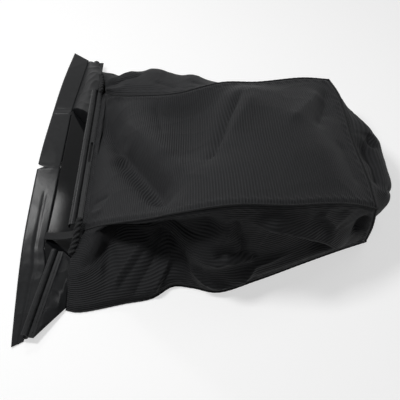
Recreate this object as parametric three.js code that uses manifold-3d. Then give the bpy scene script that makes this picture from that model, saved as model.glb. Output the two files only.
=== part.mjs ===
// Grass collection bag of a walk-behind mower, without its wire frame, lying on its own floor panel.
// Millimetres, +Z up. The mouth faces -X, the rear end faces +X, the near side faces -Y.
// The origin is on the underside of the floor panel, midway across the mouth.

import * as THREE from 'three';
import { mergeVertices } from 'three/addons/utils/BufferGeometryUtils.js';
import Module from 'manifold-3d';

// Sheet thicknesses and sewing allowances
const fabricWall = 1.6;
const vinylWall = 1.6;
const lipWall = 2.2;
const strapWall = 1.8;
const weltRadius = 2.0;
const sewingGap = 0.7;
const layGap = 0.3;

// Mouth, in the collapsed state that it takes without a frame
const mouthX = -190;
const mouthNearY = -190;
const mouthFarY = 182;
const mouthTopZ = 62;
const foldX = -269;
const foldNearY = -160;
const foldFarY = 200;

// Vinyl lip
const lipEndRun = 20;
const lipNearY = -378;
const lipFarY = 408;
const lipFarSlant = 30;
const lipNearSlant = 11;
const lipBow = 24;
const lipLift = 1.2;
const lipWave = 38;
const notchY = 24;
const notchHalfWidth = 7;
const notchDepth = 13;
const foldStepLead = 20;
const foldStepRun = 40;
const foldStep = 9;
const foldDrift = 3;

// Extruded bindings: a C that snaps over a frame tube, with a sewing flange
const boreRadius = 5.0;
const bindingWall = 1.5;
const flangeWidth = 9;
const flangeWall = 1.6;
const openHalfAngle = 50;
const topBindingX = mouthX - 24;
const topBindingZ = 57;
const topBindingNearY = -178;
const topBindingFarY = 190;
const handleSlotLength = 54;
const handleSlotWidth = 4.6;
const nearBindingLength = 172;
const nearBindingTop = [-247, -196];
const nearBindingYaw = 7.6;
const farBindingLength = 140;
const farBindingX = -231;
const farBindingY = 208;
const farBindingZ = 15.9;

// Gathered hems and corner strap
const nearHemRadius = 6.3;
const farHemRadius = 5.0;
const hemGathers = 9;
const hemSwell = 0.14;
const hemLift = [-1, 0, 2];
const strapWidth = 16;
const strapFoot = [-272, -153, 4.6];
const strapHead = [-211, -190, 51];
const strapSag = 3;
const nearHemShare = 0.62;
const farHemShare = 0.42;
const nearHemPoints = [[-201, -190, 70.5], [-198, -174, 73]];
const farHemPoints = [[-199, 170, 71], [-200, 184, 70]];
const farCheekPoints = [[-223, 134, 46], [-213, 186, 46], [-209, 240, 47], [-213, 300, 33]];
const farCheekLead = 1;
const farCheekTail = 6;
const farCheekArch = 8;

// Seams of the body
const floorSeamZ = weltRadius + 0.2;
const nearTopPoints = [
  [mouthX, mouthNearY, mouthTopZ], [-160, -209, 94], [-125, -228, 122], [-75, -251, 157], [-36, -264, 182],
  [50, -276, 213], [130, -268, 203], [200, -240, 178], [246, -217, 150], [281, -202, 125],
];
const farTopPoints = [
  [mouthX, mouthFarY, mouthTopZ], [-160, 147, 82], [-122, 123, 100], [-46, 97, 125],
  [41, 97, 150], [105, 98, 150], [193, 126, 139], [249, 147, 120],
];
const nearFloorPoints = [
  [-215, -309], [-195, -313], [-120, -296], [-78, -286], [-44, -262], [-12, -265], [28, -274],
  [93, -250], [180, -211], [242, -184], [290, -165],
];
const farFloorPoints = [
  [-215, 303], [-150, 266], [-80, 235], [0, 205], [90, 186], [180, 176], [262, 165],
];
const rearTopPoints = [[278, -140, 128], [267, -50, 130], [264, 42, 128], [260, 100, 124]];
const rearFloorPoints = [[290, -60], [282, 60]];
const nearMouthBulge = [-211, -240, 42];
const farMouthBulge = [-207, 258, 57];
const nearCornerBulge = [288, -185, 62];
const farCornerBulge = [272, 168, 62];

// Swells and folds of each panel: from, to, half width and height, in the panel's own plane
const topFolds = [
  { from: [-178, 90], to: [-131, -47], width: 22, height: -11 },
  { from: [-131, -47], to: [-62, -200], width: 23, height: -15 },
  { from: [-138, 90], to: [-66, -90], width: 24, height: 10 },
  { from: [-10, 30], to: [5, -70], width: 62, height: -24 },
  { from: [80, 80], to: [22, -95], width: 20, height: 10 },
  { from: [110, 20], to: [190, -110], width: 75, height: 12 },
  { from: [228, 40], to: [226, 14], width: 17, height: -6 },
  { from: [-160, 150], to: [-60, 118], width: 15, height: 9 },
];
const nearSideFolds = [
  { from: [-124, 92], to: [10, 152], width: 24, height: -27 },
  { from: [-175, 42], to: [-110, 55], width: 22, height: 9 },
  { from: [0, 80], to: [60, 98], width: 20, height: 10 },
  { from: [108, 160], to: [262, 34], width: 20, height: 9 },
  { from: [40, 34], to: [150, 34], width: 22, height: 6 },
  { from: [262, 92], to: [264, 74], width: 13, height: -6 },
  { from: [30, 134], to: [36, 140], width: 14, height: 8 },
];
const farSideFolds = [
  { from: [-180, 44], to: [-110, 54], width: 43, height: 24 },
  { from: [-66, 62], to: [-26, 72], width: 40, height: 25 },
  { from: [-36, 78], to: [-10, 70], width: 20, height: 4 },
  { from: [30, 65], to: [220, 60], width: 40, height: 14 },
  { from: [-172, 70], to: [-166, 30], width: 15, height: -11 },
  { from: [-36, 80], to: [-20, 20], width: 15, height: -3 },
];
const rearFolds = [
  { from: [-100, 66], to: [6, 80], width: 52, height: 47 },
  { from: [60, 60], to: [90, 56], width: 38, height: 8 },
  { from: [-60, 112], to: [-20, 104], width: 12, height: -9 },
];

// Creases of each panel: a run of points, the width on its left and right, and the height
const topCreases = [
  {
    path: [
      [-193, 147], [-183, 85], [-165, 22], [-141, -24], [-113, -88], [-81, -158], [-56, -224], [-48, -246],
    ],
    left: 11,
    right: 20,
    height: -12,
  },
  {
    path: [[-167, 64], [-134, -10], [-99, -82], [-74, -135], [-53, -184], [-42, -234]],
    left: 8,
    right: 10,
    height: 5,
  },
  {
    path: [[-145, 55], [-110, -10], [-82, -59], [-56, -103], [-35, -149], [-15, -177]],
    left: 20,
    right: 12,
    height: 8,
  },
  {
    path: [[76, 41], [59, 12], [44, -22], [32, -61], [19, -113], [8, -152]],
    left: 9,
    right: 20,
    height: -7,
  },
  { path: [[99, 35], [78, -22], [60, -63], [39, -110], [22, -146]], left: 26, right: 12, height: 8 },
  { path: [[218, 85], [195, 27], [166, -32], [142, -68]], left: 15, right: 15, height: 6 },
  { path: [[233, 109], [232, 63], [222, 16], [197, -62]], left: 11, right: 13, height: -8 },
  { path: [[234, -62], [244, -110], [251, -150], [254, -176]], left: 12, right: 14, height: -4 },
];
const nearSideCreases = [
  { path: [[-165, 86], [-140, 93], [-94, 102], [-46, 115], [10, 131]], left: 12, right: 9, height: -9 },
  { path: [[-113, 82], [-78, 88], [-46, 95], [-19, 93], [8, 86]], left: 8, right: 14, height: 10 },
  { path: [[49, 184], [57, 148], [66, 116], [78, 86]], left: 6, right: 10, height: -10 },
  { path: [[20, 95], [43, 105], [70, 94], [84, 83]], left: 12, right: 7, height: -9 },
  { path: [[12, 84], [43, 92], [72, 82], [90, 71]], left: 7, right: 9, height: 7 },
  { path: [[76, 172], [110, 165], [151, 134], [197, 92], [240, 36]], left: 16, right: 8, height: 12 },
  { path: [[85, 152], [115, 145], [150, 114], [190, 76], [226, 34]], left: 9, right: 14, height: -9 },
  { path: [[177, 170], [193, 146], [216, 105]], left: 13, right: 7, height: 7 },
  { path: [[163, 162], [181, 138], [201, 100]], left: 8, right: 9, height: -6 },
  { path: [[260, 66], [263, 82], [264, 101]], left: 9, right: 9, height: -12 },
  {
    path: [[8, 58], [22, 33], [45, 22], [80, 43], [111, 66], [160, 70]],
    left: 9,
    right: 10,
    height: 7,
  },
  { path: [[-35, 70], [-55, 38], [-71, 21], [-79, 7]], left: 8, right: 8, height: 6 },
  { path: [[-79, 73], [-97, 62], [-120, 42], [-147, 18]], left: 9, right: 9, height: 7 },
  { path: [[-58, 70], [-76, 48], [-95, 30], [-112, 8]], left: 8, right: 9, height: -6 },
  { path: [[-190, 58], [-158, 63], [-136, 68]], left: 10, right: 13, height: -10 },
];
const farSideCreases = [
  { path: [[-198, 56], [-149, 86], [-120, 96]], left: 9, right: 11, height: -9 },
  { path: [[-196, 40], [-160, 66], [-110, 78], [-70, 84]], left: 11, right: 11, height: 6 },
  { path: [[-60, 96], [-20, 82], [10, 56]], left: 10, right: 12, height: -2 },
  { path: [[60, 110], [90, 80], [120, 30]], left: 10, right: 12, height: -6 },
];
const rearCreases = [
  { path: [[-20, 116], [-65, 112], [-124, 118]], left: 10, right: 11, height: -8 },
  { path: [[-120, 96], [-100, 60], [-96, 30]], left: 10, right: 11, height: -6 },
  { path: [[10, 110], [30, 70], [20, 26]], left: 11, right: 10, height: -7 },
];

// Grid steps along and across the panels
const topSteps = [42, 26];
const nearSideSteps = [46, 14];
const farSideSteps = [24, 9];
const rearSteps = [18, 11];
const lipSteps = 36;
const cheekSteps = [4, 12];
const fadeShare = 0.17;
const creaseFadeShare = 0.06;
const creasePower = 1.35;
const creaseEndShare = 0.22;
const weltSides = 3;
const weltStep = 16;
const hemSides = 4;
const stepsPerGather = 3;
const boreSegments = 8;
const headerSteps = 12;
const floorSteps = { near: 40, rear: 8, far: 24 };

// Finishes
const ribbedFabric = { color: 0x1d1e20, roughness: 0.85, metalness: 0 };
const glossyVinyl = { color: 0x1b1c1e, roughness: 0.22, metalness: 0 };
const extrudedPlastic = { color: 0x2b2c2e, roughness: 0.38, metalness: 0 };
const webbing = { color: 0x161718, roughness: 0.8, metalness: 0 };

const wasm = await Module();
wasm.setup();

// Vectors and curves
const vec = (p) => new THREE.Vector3(p[0], p[1], p[2] ?? floorSeamZ);
const seam = (points) => new THREE.CatmullRomCurve3(points.map(vec), false, 'centripetal');
const along = (curve) => (t) => curve.getPointAt(Math.min(1, Math.max(0, t)));
const steps = (count) => Array.from({ length: count + 1 }, (_, i) => i / count);

// A patch stretched between four edge curves that meet at its corners
function coons(low, high, start, end) {
  const p00 = low(0);
  const p10 = low(1);
  const p01 = high(0);
  const p11 = high(1);
  return (u, v) => {
    const p = low(u).clone().multiplyScalar(1 - v).addScaledVector(high(u), v);
    p.addScaledVector(start(v), 1 - u).addScaledVector(end(v), u);
    p.addScaledVector(p00, -(1 - u) * (1 - v)).addScaledVector(p10, -u * (1 - v));
    return p.addScaledVector(p01, -(1 - u) * v).addScaledVector(p11, -u * v);
  };
}

// The height of the folds at a point, given by the two coordinates of the panel's own plane
function reliefAt(folds, a, b) {
  let height = 0;
  for (const fold of folds) {
    const da = fold.to[0] - fold.from[0];
    const db = fold.to[1] - fold.from[1];
    const t = ((a - fold.from[0]) * da + (b - fold.from[1]) * db) / (da * da + db * db);
    const near = Math.min(1, Math.max(0, t));
    const away = Math.hypot(a - fold.from[0] - near * da, b - fold.from[1] - near * db);
    height += fold.height * Math.exp(-((away / fold.width) ** 2));
  }
  return height;
}

// The height of the creases there: sharp at the run of points, with another width on each side of it
function creasesAt(creases, a, b) {
  let total = 0;
  for (const { path, left, right, height } of creases) {
    const spans = path.slice(1).map((p, k) => Math.hypot(p[0] - path[k][0], p[1] - path[k][1]));
    const length = spans.reduce((sum, span) => sum + span, 0);
    let best = { away: Infinity, side: 0, share: 0 };
    let run = 0;
    spans.forEach((span, k) => {
      const dx = (path[k + 1][0] - path[k][0]) / span;
      const dy = (path[k + 1][1] - path[k][1]) / span;
      const ax = a - path[k][0];
      const by = b - path[k][1];
      const t = Math.min(span, Math.max(0, ax * dx + by * dy));
      const away = Math.hypot(ax - t * dx, by - t * dy);
      if (away < best.away) best = { away, side: dx * by - dy * ax, share: (run + t) / length };
      run += span;
    });
    const { smoothstep } = THREE.MathUtils;
    const leftShare = smoothstep(0.5 + best.side / (left + right), 0, 1);
    const width = right + (left - right) * leftShare;
    const taper = smoothstep(Math.min(best.share, 1 - best.share), -0.05, creaseEndShare);
    total += height * taper * Math.exp(-((best.away / width) ** creasePower));
  }
  return total;
}

// Raises the folds along one direction and the creases square to the sheet, fading out at the seams
function withFolds(patch, folds, creases, plane, direction) {
  const fade = (t, share) => THREE.MathUtils.smoothstep(Math.min(t, 1 - t), 0, share);
  const swollen = (u, v) => {
    const p = patch(u, v);
    const at = p.toArray();
    const height = reliefAt(folds, at[plane[0]], at[plane[1]]) * fade(u, fadeShare) * fade(v, fadeShare);
    return p.addScaledVector(direction, height);
  };
  const outward = facing(swollen);
  return (u, v) => {
    const p = swollen(u, v);
    const at = p.toArray();
    const height = creasesAt(creases, at[plane[0]], at[plane[1]]);
    return p.addScaledVector(outward(u, v), height * fade(u, creaseFadeShare) * fade(v, creaseFadeShare));
  };
}

// Draws the patch in from its edges by the room that the welts need, measured square to each edge
function drawnIn(patch, room) {
  const near = 0.01;
  const share = (corner, inward, beside) => {
    const across = inward.sub(corner);
    const run = beside.sub(corner);
    return (room * near * run.length()) / across.cross(run).length();
  };
  return (u, v) => {
    const nextU = u < 0.5 ? u + near : u - near;
    const nextV = v < 0.5 ? v + near : v - near;
    const a0 = share(patch(0, v), patch(near, v), patch(0, nextV));
    const a1 = share(patch(1, v), patch(1 - near, v), patch(1, nextV));
    const b0 = share(patch(u, 0), patch(u, near), patch(nextU, 0));
    const b1 = share(patch(u, 1), patch(u, 1 - near), patch(nextU, 1));
    return patch(a0 + (1 - a0 - a1) * u, b0 + (1 - b0 - b1) * v);
  };
}

// The outward direction of a patch over parameters from 0 to 1
function facing(patch) {
  const near = 0.003;
  return (u, v) => {
    const du = patch(u + near, v).sub(patch(u - near, v));
    const dv = patch(u, v + near).sub(patch(u, v - near));
    return du.cross(dv).normalize();
  };
}

// A closed sheet: the outer face is the patch, the inner one lies one wall behind it
function sheetGeometry(patch, us, vs, wall, outward) {
  const outer = us.map((u) => vs.map((v) => patch(u, v)));
  const last = [us.length - 1, vs.length - 1];
  const positions = [];
  const index = [];
  const at = (i, j, layer) => layer * us.length * vs.length + i * vs.length + j;
  const normal = (i, j) => {
    if (outward) return outward(us[i], vs[j]);
    const du = outer[Math.min(i + 1, last[0])][j].clone().sub(outer[Math.max(i - 1, 0)][j]);
    const dv = outer[i][Math.min(j + 1, last[1])].clone().sub(outer[i][Math.max(j - 1, 0)]);
    return du.cross(dv).normalize();
  };
  outer.forEach((row) => row.forEach((p) => positions.push(...p.toArray())));
  outer.forEach((row, i) => row.forEach((p, j) => {
    positions.push(...p.clone().addScaledVector(normal(i, j), -wall).toArray());
  }));
  const quad = (a, b, c, d) => index.push(a, b, c, a, c, d);
  for (let i = 0; i < last[0]; i += 1) {
    for (let j = 0; j < last[1]; j += 1) {
      // The shorter diagonal is taken, so that the creases run along the folds
      const rising = outer[i][j].distanceTo(outer[i + 1][j + 1]);
      const falling = outer[i + 1][j].distanceTo(outer[i][j + 1]);
      const ring = rising <= falling
        ? [[i, j], [i + 1, j], [i + 1, j + 1], [i, j + 1]]
        : [[i + 1, j], [i + 1, j + 1], [i, j + 1], [i, j]];
      const [a, b, c, d] = ring;
      quad(at(...a, 0), at(...b, 0), at(...c, 0), at(...d, 0));
      quad(at(...a, 1), at(...d, 1), at(...c, 1), at(...b, 1));
    }
  }
  const rim = [];
  for (let i = 0; i < last[0]; i += 1) rim.push([i, 0]);
  for (let j = 0; j < last[1]; j += 1) rim.push([last[0], j]);
  for (let i = last[0]; i > 0; i -= 1) rim.push([i, last[1]]);
  for (let j = last[1]; j > 0; j -= 1) rim.push([0, j]);
  rim.forEach(([i, j], k) => {
    const [m, n] = rim[(k + 1) % rim.length];
    quad(at(m, n, 0), at(i, j, 0), at(i, j, 1), at(m, n, 1));
  });
  const geometry = new THREE.BufferGeometry();
  geometry.setAttribute('position', new THREE.Float32BufferAttribute(positions, 3));
  geometry.setIndex(index);
  return geometry;
}

// A round cord of filler sewn into a seam, cut back from the corners where three seams meet
function weltGeometry(curve, cutBack) {
  const length = curve.getLength();
  const count = Math.ceil(length / weltStep);
  const cut = cutBack / length;
  const path = new THREE.CatmullRomCurve3(
    steps(count).map((t) => curve.getPointAt(cut + (1 - 2 * cut) * t)),
  );
  const section = new THREE.Shape().absarc(0, 0, weltRadius, 0, 2 * Math.PI);
  return new THREE.ExtrudeGeometry(section, {
    steps: count, extrudePath: path, curveSegments: weltSides, bevelEnabled: false,
  });
}

// A hem drawn up on its thread: a tube whose radius swells between the gathers
function gatheredHemGeometry(points, radius, gathers) {
  const path = new THREE.CatmullRomCurve3(points.map(vec));
  const section = new THREE.Shape().absarc(0, 0, radius, 0, 2 * Math.PI);
  const geometry = new THREE.ExtrudeGeometry(section, {
    steps: gathers * stepsPerGather, extrudePath: path, curveSegments: hemSides, bevelEnabled: false,
  });
  const position = geometry.getAttribute('position');
  const samples = steps(gathers * stepsPerGather).map((t) => [t, path.getPointAt(t)]);
  const point = new THREE.Vector3();
  for (let i = 0; i < position.count; i += 1) {
    point.fromBufferAttribute(position, i);
    let best = samples[0];
    for (const sample of samples) {
      if (sample[1].distanceTo(point) < best[1].distanceTo(point)) best = sample;
    }
    const swell = 1 - hemSwell + hemSwell * Math.cos(2 * Math.PI * gathers * best[0]);
    point.sub(best[1]).multiplyScalar(swell).add(best[1]);
    position.setXYZ(i, point.x, point.y, point.z);
  }
  return geometry;
}

// The section of a binding: the C is centred on the origin and the flange runs to the right
function bindingSection(openAt) {
  const outerRadius = boreRadius + bindingWall;
  const half = THREE.MathUtils.degToRad(openHalfAngle);
  const open = THREE.MathUtils.degToRad(openAt);
  const root = Math.asin(flangeWall / 2 / outerRadius);
  const flangeEnd = outerRadius + flangeWidth;
  const first = open + half;
  const last = open - half + 2 * Math.PI;
  const turn = 2 * Math.PI;
  const shape = new THREE.Shape();
  shape.moveTo(outerRadius * Math.cos(first), outerRadius * Math.sin(first));
  if (first < -root) {
    shape.absarc(0, 0, outerRadius, first, -root, false);
    shape.lineTo(flangeEnd, -flangeWall / 2);
    shape.lineTo(flangeEnd, flangeWall / 2);
    shape.absarc(0, 0, outerRadius, root, last, false);
  } else {
    shape.absarc(0, 0, outerRadius, first, turn - root, false);
    shape.lineTo(flangeEnd, -flangeWall / 2);
    shape.lineTo(flangeEnd, flangeWall / 2);
    shape.absarc(0, 0, outerRadius, turn + root, last, false);
  }
  shape.absarc(0, 0, boreRadius, last, first, true);
  shape.closePath();
  return shape;
}

// A straight length of binding along +Y from the origin
function bindingGeometry(length, openAt) {
  const geometry = new THREE.ExtrudeGeometry(bindingSection(openAt), {
    depth: length, curveSegments: boreSegments, bevelEnabled: false,
  });
  return geometry.rotateX(Math.PI / 2).translate(0, length, 0);
}

// Turns a geometry into a solid for cutting, and back
function toSolid(geometry) {
  const bare = geometry.clone();
  bare.deleteAttribute('normal');
  bare.deleteAttribute('uv');
  const merged = mergeVertices(bare, 1e-4);
  return new wasm.Manifold(new wasm.Mesh({
    numProp: 3,
    vertProperties: new Float32Array(merged.getAttribute('position').array),
    triVerts: new Uint32Array(merged.getIndex().array),
  }));
}

function toGeometry(solid) {
  const mesh = solid.getMesh();
  const geometry = new THREE.BufferGeometry();
  geometry.setAttribute('position', new THREE.Float32BufferAttribute(mesh.vertProperties, 3));
  geometry.setIndex(new THREE.Uint32BufferAttribute(mesh.triVerts, 1));
  return geometry;
}

function cut(geometry, tool) {
  return toGeometry(toSolid(geometry).subtract(toSolid(tool)));
}

const bag = new THREE.Group();

function add(name, geometry, finish) {
  const mesh = new THREE.Mesh(geometry, new THREE.MeshStandardMaterial(finish));
  mesh.name = name;
  bag.add(mesh);
  return mesh;
}

// Seam curves: each is shared by the two panels sewn along it
const nearTop = seam(nearTopPoints);
const farTop = seam(farTopPoints);
const nearFloor = seam(nearFloorPoints);
const farFloor = seam(farFloorPoints);
const rearTop = seam([nearTopPoints.at(-1), ...rearTopPoints, farTopPoints.at(-1)]);
const rearFloor = seam([nearFloorPoints.at(-1), ...rearFloorPoints, farFloorPoints.at(-1)]);
const nearCorner = seam([nearFloorPoints.at(-1), nearCornerBulge, nearTopPoints.at(-1)]);
const farCorner = seam([farFloorPoints.at(-1), farCornerBulge, farTopPoints.at(-1)]);
const mouthTop = seam([nearTopPoints[0], farTopPoints[0]]);
const mouthNear = seam([nearFloorPoints[0], nearMouthBulge, nearTopPoints[0]]);
const mouthFar = seam([farTopPoints[0], farMouthBulge, farFloorPoints[0]]);
const turned = (curve) => (t) => curve.getPointAt(1 - Math.min(1, Math.max(0, t)));

// Fabric panels of the body
const seamRoom = weltRadius + sewingGap;
const up = new THREE.Vector3(0, 0, 1);
const near = new THREE.Vector3(0, -1, 0);
const far = new THREE.Vector3(0, 0.7, 0.7);
const rear = new THREE.Vector3(1, 0, 0);

function fabricPanel(name, edges, folds, creases, plane, direction, [nu, nv]) {
  const patch = drawnIn(withFolds(coons(...edges), folds, creases, plane, direction), seamRoom);
  const geometry = sheetGeometry(patch, steps(nu), steps(nv), fabricWall, facing(patch));
  add(name, geometry, ribbedFabric);
}

fabricPanel('top_panel', [along(nearTop), along(farTop), along(mouthTop), along(rearTop)],
  topFolds, topCreases, [0, 1], up, topSteps);
fabricPanel('near_side_panel', [along(nearFloor), along(nearTop), along(mouthNear), along(nearCorner)],
  nearSideFolds, nearSideCreases, [0, 2], near, nearSideSteps);
fabricPanel('far_side_panel', [along(farTop), along(farFloor), along(mouthFar), turned(farCorner)],
  farSideFolds, farSideCreases, [0, 2], far, farSideSteps);
fabricPanel('rear_panel', [along(rearFloor), along(rearTop), along(nearCorner), along(farCorner)],
  rearFolds, rearCreases, [1, 2], rear, rearSteps);

// Welts in the eight seams
const cornerCut = 2 * weltRadius + sewingGap;
add('near_top_welt', weltGeometry(nearTop, cornerCut), webbing);
add('far_top_welt', weltGeometry(farTop, cornerCut), webbing);
add('rear_top_welt', weltGeometry(rearTop, cornerCut), webbing);
add('near_floor_welt', weltGeometry(nearFloor, cornerCut), webbing);
add('far_floor_welt', weltGeometry(farFloor, cornerCut), webbing);
add('rear_floor_welt', weltGeometry(rearFloor, cornerCut), webbing);
add('near_corner_welt', weltGeometry(nearCorner, cornerCut), webbing);
add('far_corner_welt', weltGeometry(farCorner, cornerCut), webbing);

// The vinyl floor panel, flat on the ground, from the lip's fold to the rear seam
function floorPanel() {
  const outline = new THREE.Shape();
  const inset = seamRoom + layGap;
  const slack = 1;
  outline.moveTo(foldX + layGap, foldNearY);
  const edge = (curve, from, to, count, dx, dy) => {
    for (let i = 0; i <= count; i += 1) {
      const p = curve.getPointAt(from + (to - from) * i / count);
      outline.lineTo(p.x + dx, p.y + dy);
    }
  };
  edge(nearFloor, 0.01, 0.985, floorSteps.near, 0, inset + slack);
  edge(rearFloor, 0.03, 0.97, floorSteps.rear, -inset, 0);
  edge(farFloor, 0.985, 0.01, floorSteps.far, 0, -inset - slack);
  outline.lineTo(foldX + layGap, foldFarY);
  outline.closePath();
  const sheet = new THREE.ExtrudeGeometry(outline, { depth: vinylWall, bevelEnabled: false });
  add('floor_panel', sheet, glossyVinyl);
}
floorPanel();

// The lip: a long vinyl strip folded out in front of the mouth, notched at its middle
function lipEdge(y) {
  const t = (y - lipNearY) / (lipFarY - lipNearY);
  const bow = lipBow * (1 - (2 * t - 1) ** 2);
  const notch = notchDepth * Math.max(0, 1 - Math.abs(y - notchY) / notchHalfWidth);
  return foldX - lipEndRun - bow + notch;
}

// The fold steps in beyond the near corner of the floor panel and drifts towards both ends
function lipFold(y) {
  const beyondNear = Math.max(0, foldNearY - foldStepLead - y) / foldStepRun;
  const beyondFar = Math.max(0, y - foldFarY) / foldStepRun;
  const stepIn = foldStep * Math.min(1, beyondNear) - foldDrift * Math.max(0, beyondNear - 1);
  return foldX - layGap + stepIn + foldDrift * beyondFar;
}

function lipPoint(u, y) {
  const x = lipEdge(y) * (1 - u) + lipFold(y) * u;
  const farShare = Math.max(0, (y - foldFarY) / (lipFarY - foldFarY));
  const nearShare = Math.max(0, (foldNearY - y) / (foldNearY - lipNearY));
  const lift = lipLift * (1 - u) * (1 + Math.sin(y / lipWave));
  return new THREE.Vector3(x, y - u * (lipFarSlant * farShare - lipNearSlant * nearShare), lipWall + lift);
}

function mouthLip() {
  const ys = steps(lipSteps).map((t) => lipNearY + t * (lipFarY - lipNearY));
  const marks = [notchY - notchHalfWidth, notchY, notchY + notchHalfWidth];
  const stations = [...ys.filter((y) => Math.abs(y - notchY) > 2 * notchHalfWidth), ...marks];
  stations.sort((a, b) => a - b);
  add('mouth_lip', sheetGeometry(lipPoint, steps(3), stations, lipWall), glossyVinyl);
}
mouthLip();

// Bindings
const outerRadius = boreRadius + bindingWall;
const nearBindingZ = lipWall + 2 * lipLift + outerRadius + seamRoom;
const nearYaw = THREE.MathUtils.degToRad(nearBindingYaw);
const nearBindingFoot = new THREE.Vector3(
  nearBindingTop[0] - nearBindingLength * Math.sin(nearYaw),
  nearBindingTop[1] - nearBindingLength * Math.cos(nearYaw),
  nearBindingZ,
);

function bindings() {
  const length = topBindingFarY - topBindingNearY;
  const slot = new THREE.BoxGeometry(handleSlotWidth, handleSlotLength, 4 * flangeWall);
  slot.translate(outerRadius + flangeWidth / 2, length / 2, 0);
  const top = add('top_binding', cut(bindingGeometry(length, -90), slot), extrudedPlastic);
  top.position.set(topBindingX, topBindingNearY, topBindingZ);

  const nearSide = add('near_binding', bindingGeometry(nearBindingLength, 180), extrudedPlastic);
  nearSide.rotation.z = -nearYaw;
  nearSide.position.copy(nearBindingFoot);

  const farSide = add('far_binding', bindingGeometry(farBindingLength, -90), extrudedPlastic);
  farSide.position.set(farBindingX, farBindingY, farBindingZ);
}
bindings();

// The header: a strip under the flange of the top binding that carries the top panel
function header() {
  const flangeLow = topBindingZ - flangeWall / 2 - layGap;
  const profile = [
    [topBindingX + outerRadius + 1, flangeLow],
    [topBindingX + outerRadius + flangeWidth, flangeLow],
    [mouthX + seamRoom - sewingGap, mouthTopZ + layGap],
  ];
  const patch = (i, y) => new THREE.Vector3(profile[i][0], y, profile[i][1]);
  const ys = steps(headerSteps).map((t) => mouthNearY + t * (mouthFarY - mouthNearY));
  add('top_header', sheetGeometry(patch, [0, 1, 2], ys, fabricWall * 0.75), ribbedFabric);
}
header();

// Side cheeks: vinyl between the side bindings or the lip and the fabric of the body
function cheeks() {
  const run = new THREE.Vector3(Math.sin(nearYaw), Math.cos(nearYaw), 0);
  const across = new THREE.Vector3(Math.cos(nearYaw), -Math.sin(nearYaw), 0);
  const flangeEnd = nearBindingFoot.clone()
    .addScaledVector(across, outerRadius + flangeWidth + sewingGap + layGap)
    .add(new THREE.Vector3(0, 0, flangeWall / 2));
  const edgeRoom = new THREE.Vector3(seamRoom - sewingGap, 0, 0);
  const nearPatch = (u, v) => {
    const left = flangeEnd.clone().addScaledVector(run, nearBindingLength * v);
    const right = mouthNear.getPointAt(0.03 + (nearHemShare - 0.05) * v).add(edgeRoom);
    return left.lerp(right, u);
  };
  const [us, vs] = cheekSteps.map(steps);
  add('near_cheek', sheetGeometry(nearPatch, us, vs, vinylWall), glossyVinyl);

  const upper = seam(farCheekPoints);
  const lipRoom = new THREE.Vector3(sewingGap + layGap, 0, 2 * layGap);
  const farPatch = (u, v) => {
    const y = foldFarY + farCheekLead + (lipFarY - foldFarY - farCheekTail) * v;
    const left = lipPoint(1, y).add(lipRoom);
    const arch = farCheekArch * 4 * u * (1 - u);
    return left.lerp(upper.getPointAt(v), u).add(new THREE.Vector3(0, 0, arch));
  };
  add('far_cheek', sheetGeometry(farPatch, us, vs, vinylWall), glossyVinyl);
}
cheeks();

// Gathered hems round the upper corners of the mouth
function gatheredHems() {
  const onMouth = (curve, t, radius) => {
    const p = curve.getPointAt(t);
    p.x -= radius + sewingGap - seamRoom;
    return p;
  };
  const nearStart = onMouth(mouthNear, nearHemShare + 0.03, nearHemRadius);
  const nearMid = onMouth(mouthNear, (nearHemShare + 1) / 2, nearHemRadius).add(vec(hemLift));
  const nearPoints = [nearStart.toArray(), nearMid.toArray(), ...nearHemPoints];
  add('near_gathered_hem', gatheredHemGeometry(nearPoints, nearHemRadius, hemGathers), webbing);
  const farEnd = onMouth(mouthFar, farHemShare, farHemRadius);
  const farMid = onMouth(mouthFar, farHemShare / 2, farHemRadius).add(vec(hemLift));
  const farPoints = [...farHemPoints, farMid.toArray(), farEnd.toArray()];
  add('far_gathered_hem', gatheredHemGeometry(farPoints, farHemRadius, hemGathers), webbing);
}
gatheredHems();

// The corner strap, from the fold of the lip up to the near hem
function cornerStrap() {
  const foot = vec(strapFoot);
  const head = vec(strapHead);
  const patch = (u, v) => {
    const p = foot.clone().lerp(head, u);
    p.z -= strapSag * 4 * u * (1 - u);
    p.y += strapWidth * (v - 0.5);
    return p;
  };
  add('near_corner_strap', sheetGeometry(patch, steps(8), steps(2), strapWall), webbing);
}
cornerStrap();

export default bag;
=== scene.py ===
"""Dresses a walk-behind mower's soft grass bag, laid out as an add-on and run as a script.

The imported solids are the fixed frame. The fabric, the vinyl and the sewing are surfaces worked out here from
the seams of the bag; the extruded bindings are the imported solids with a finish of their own.
Lengths in the lists below are millimetres, in the frame of the solids: +Z up, the mouth faces -X, the near
side faces -Y.
"""

import math
from collections import namedtuple

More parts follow.
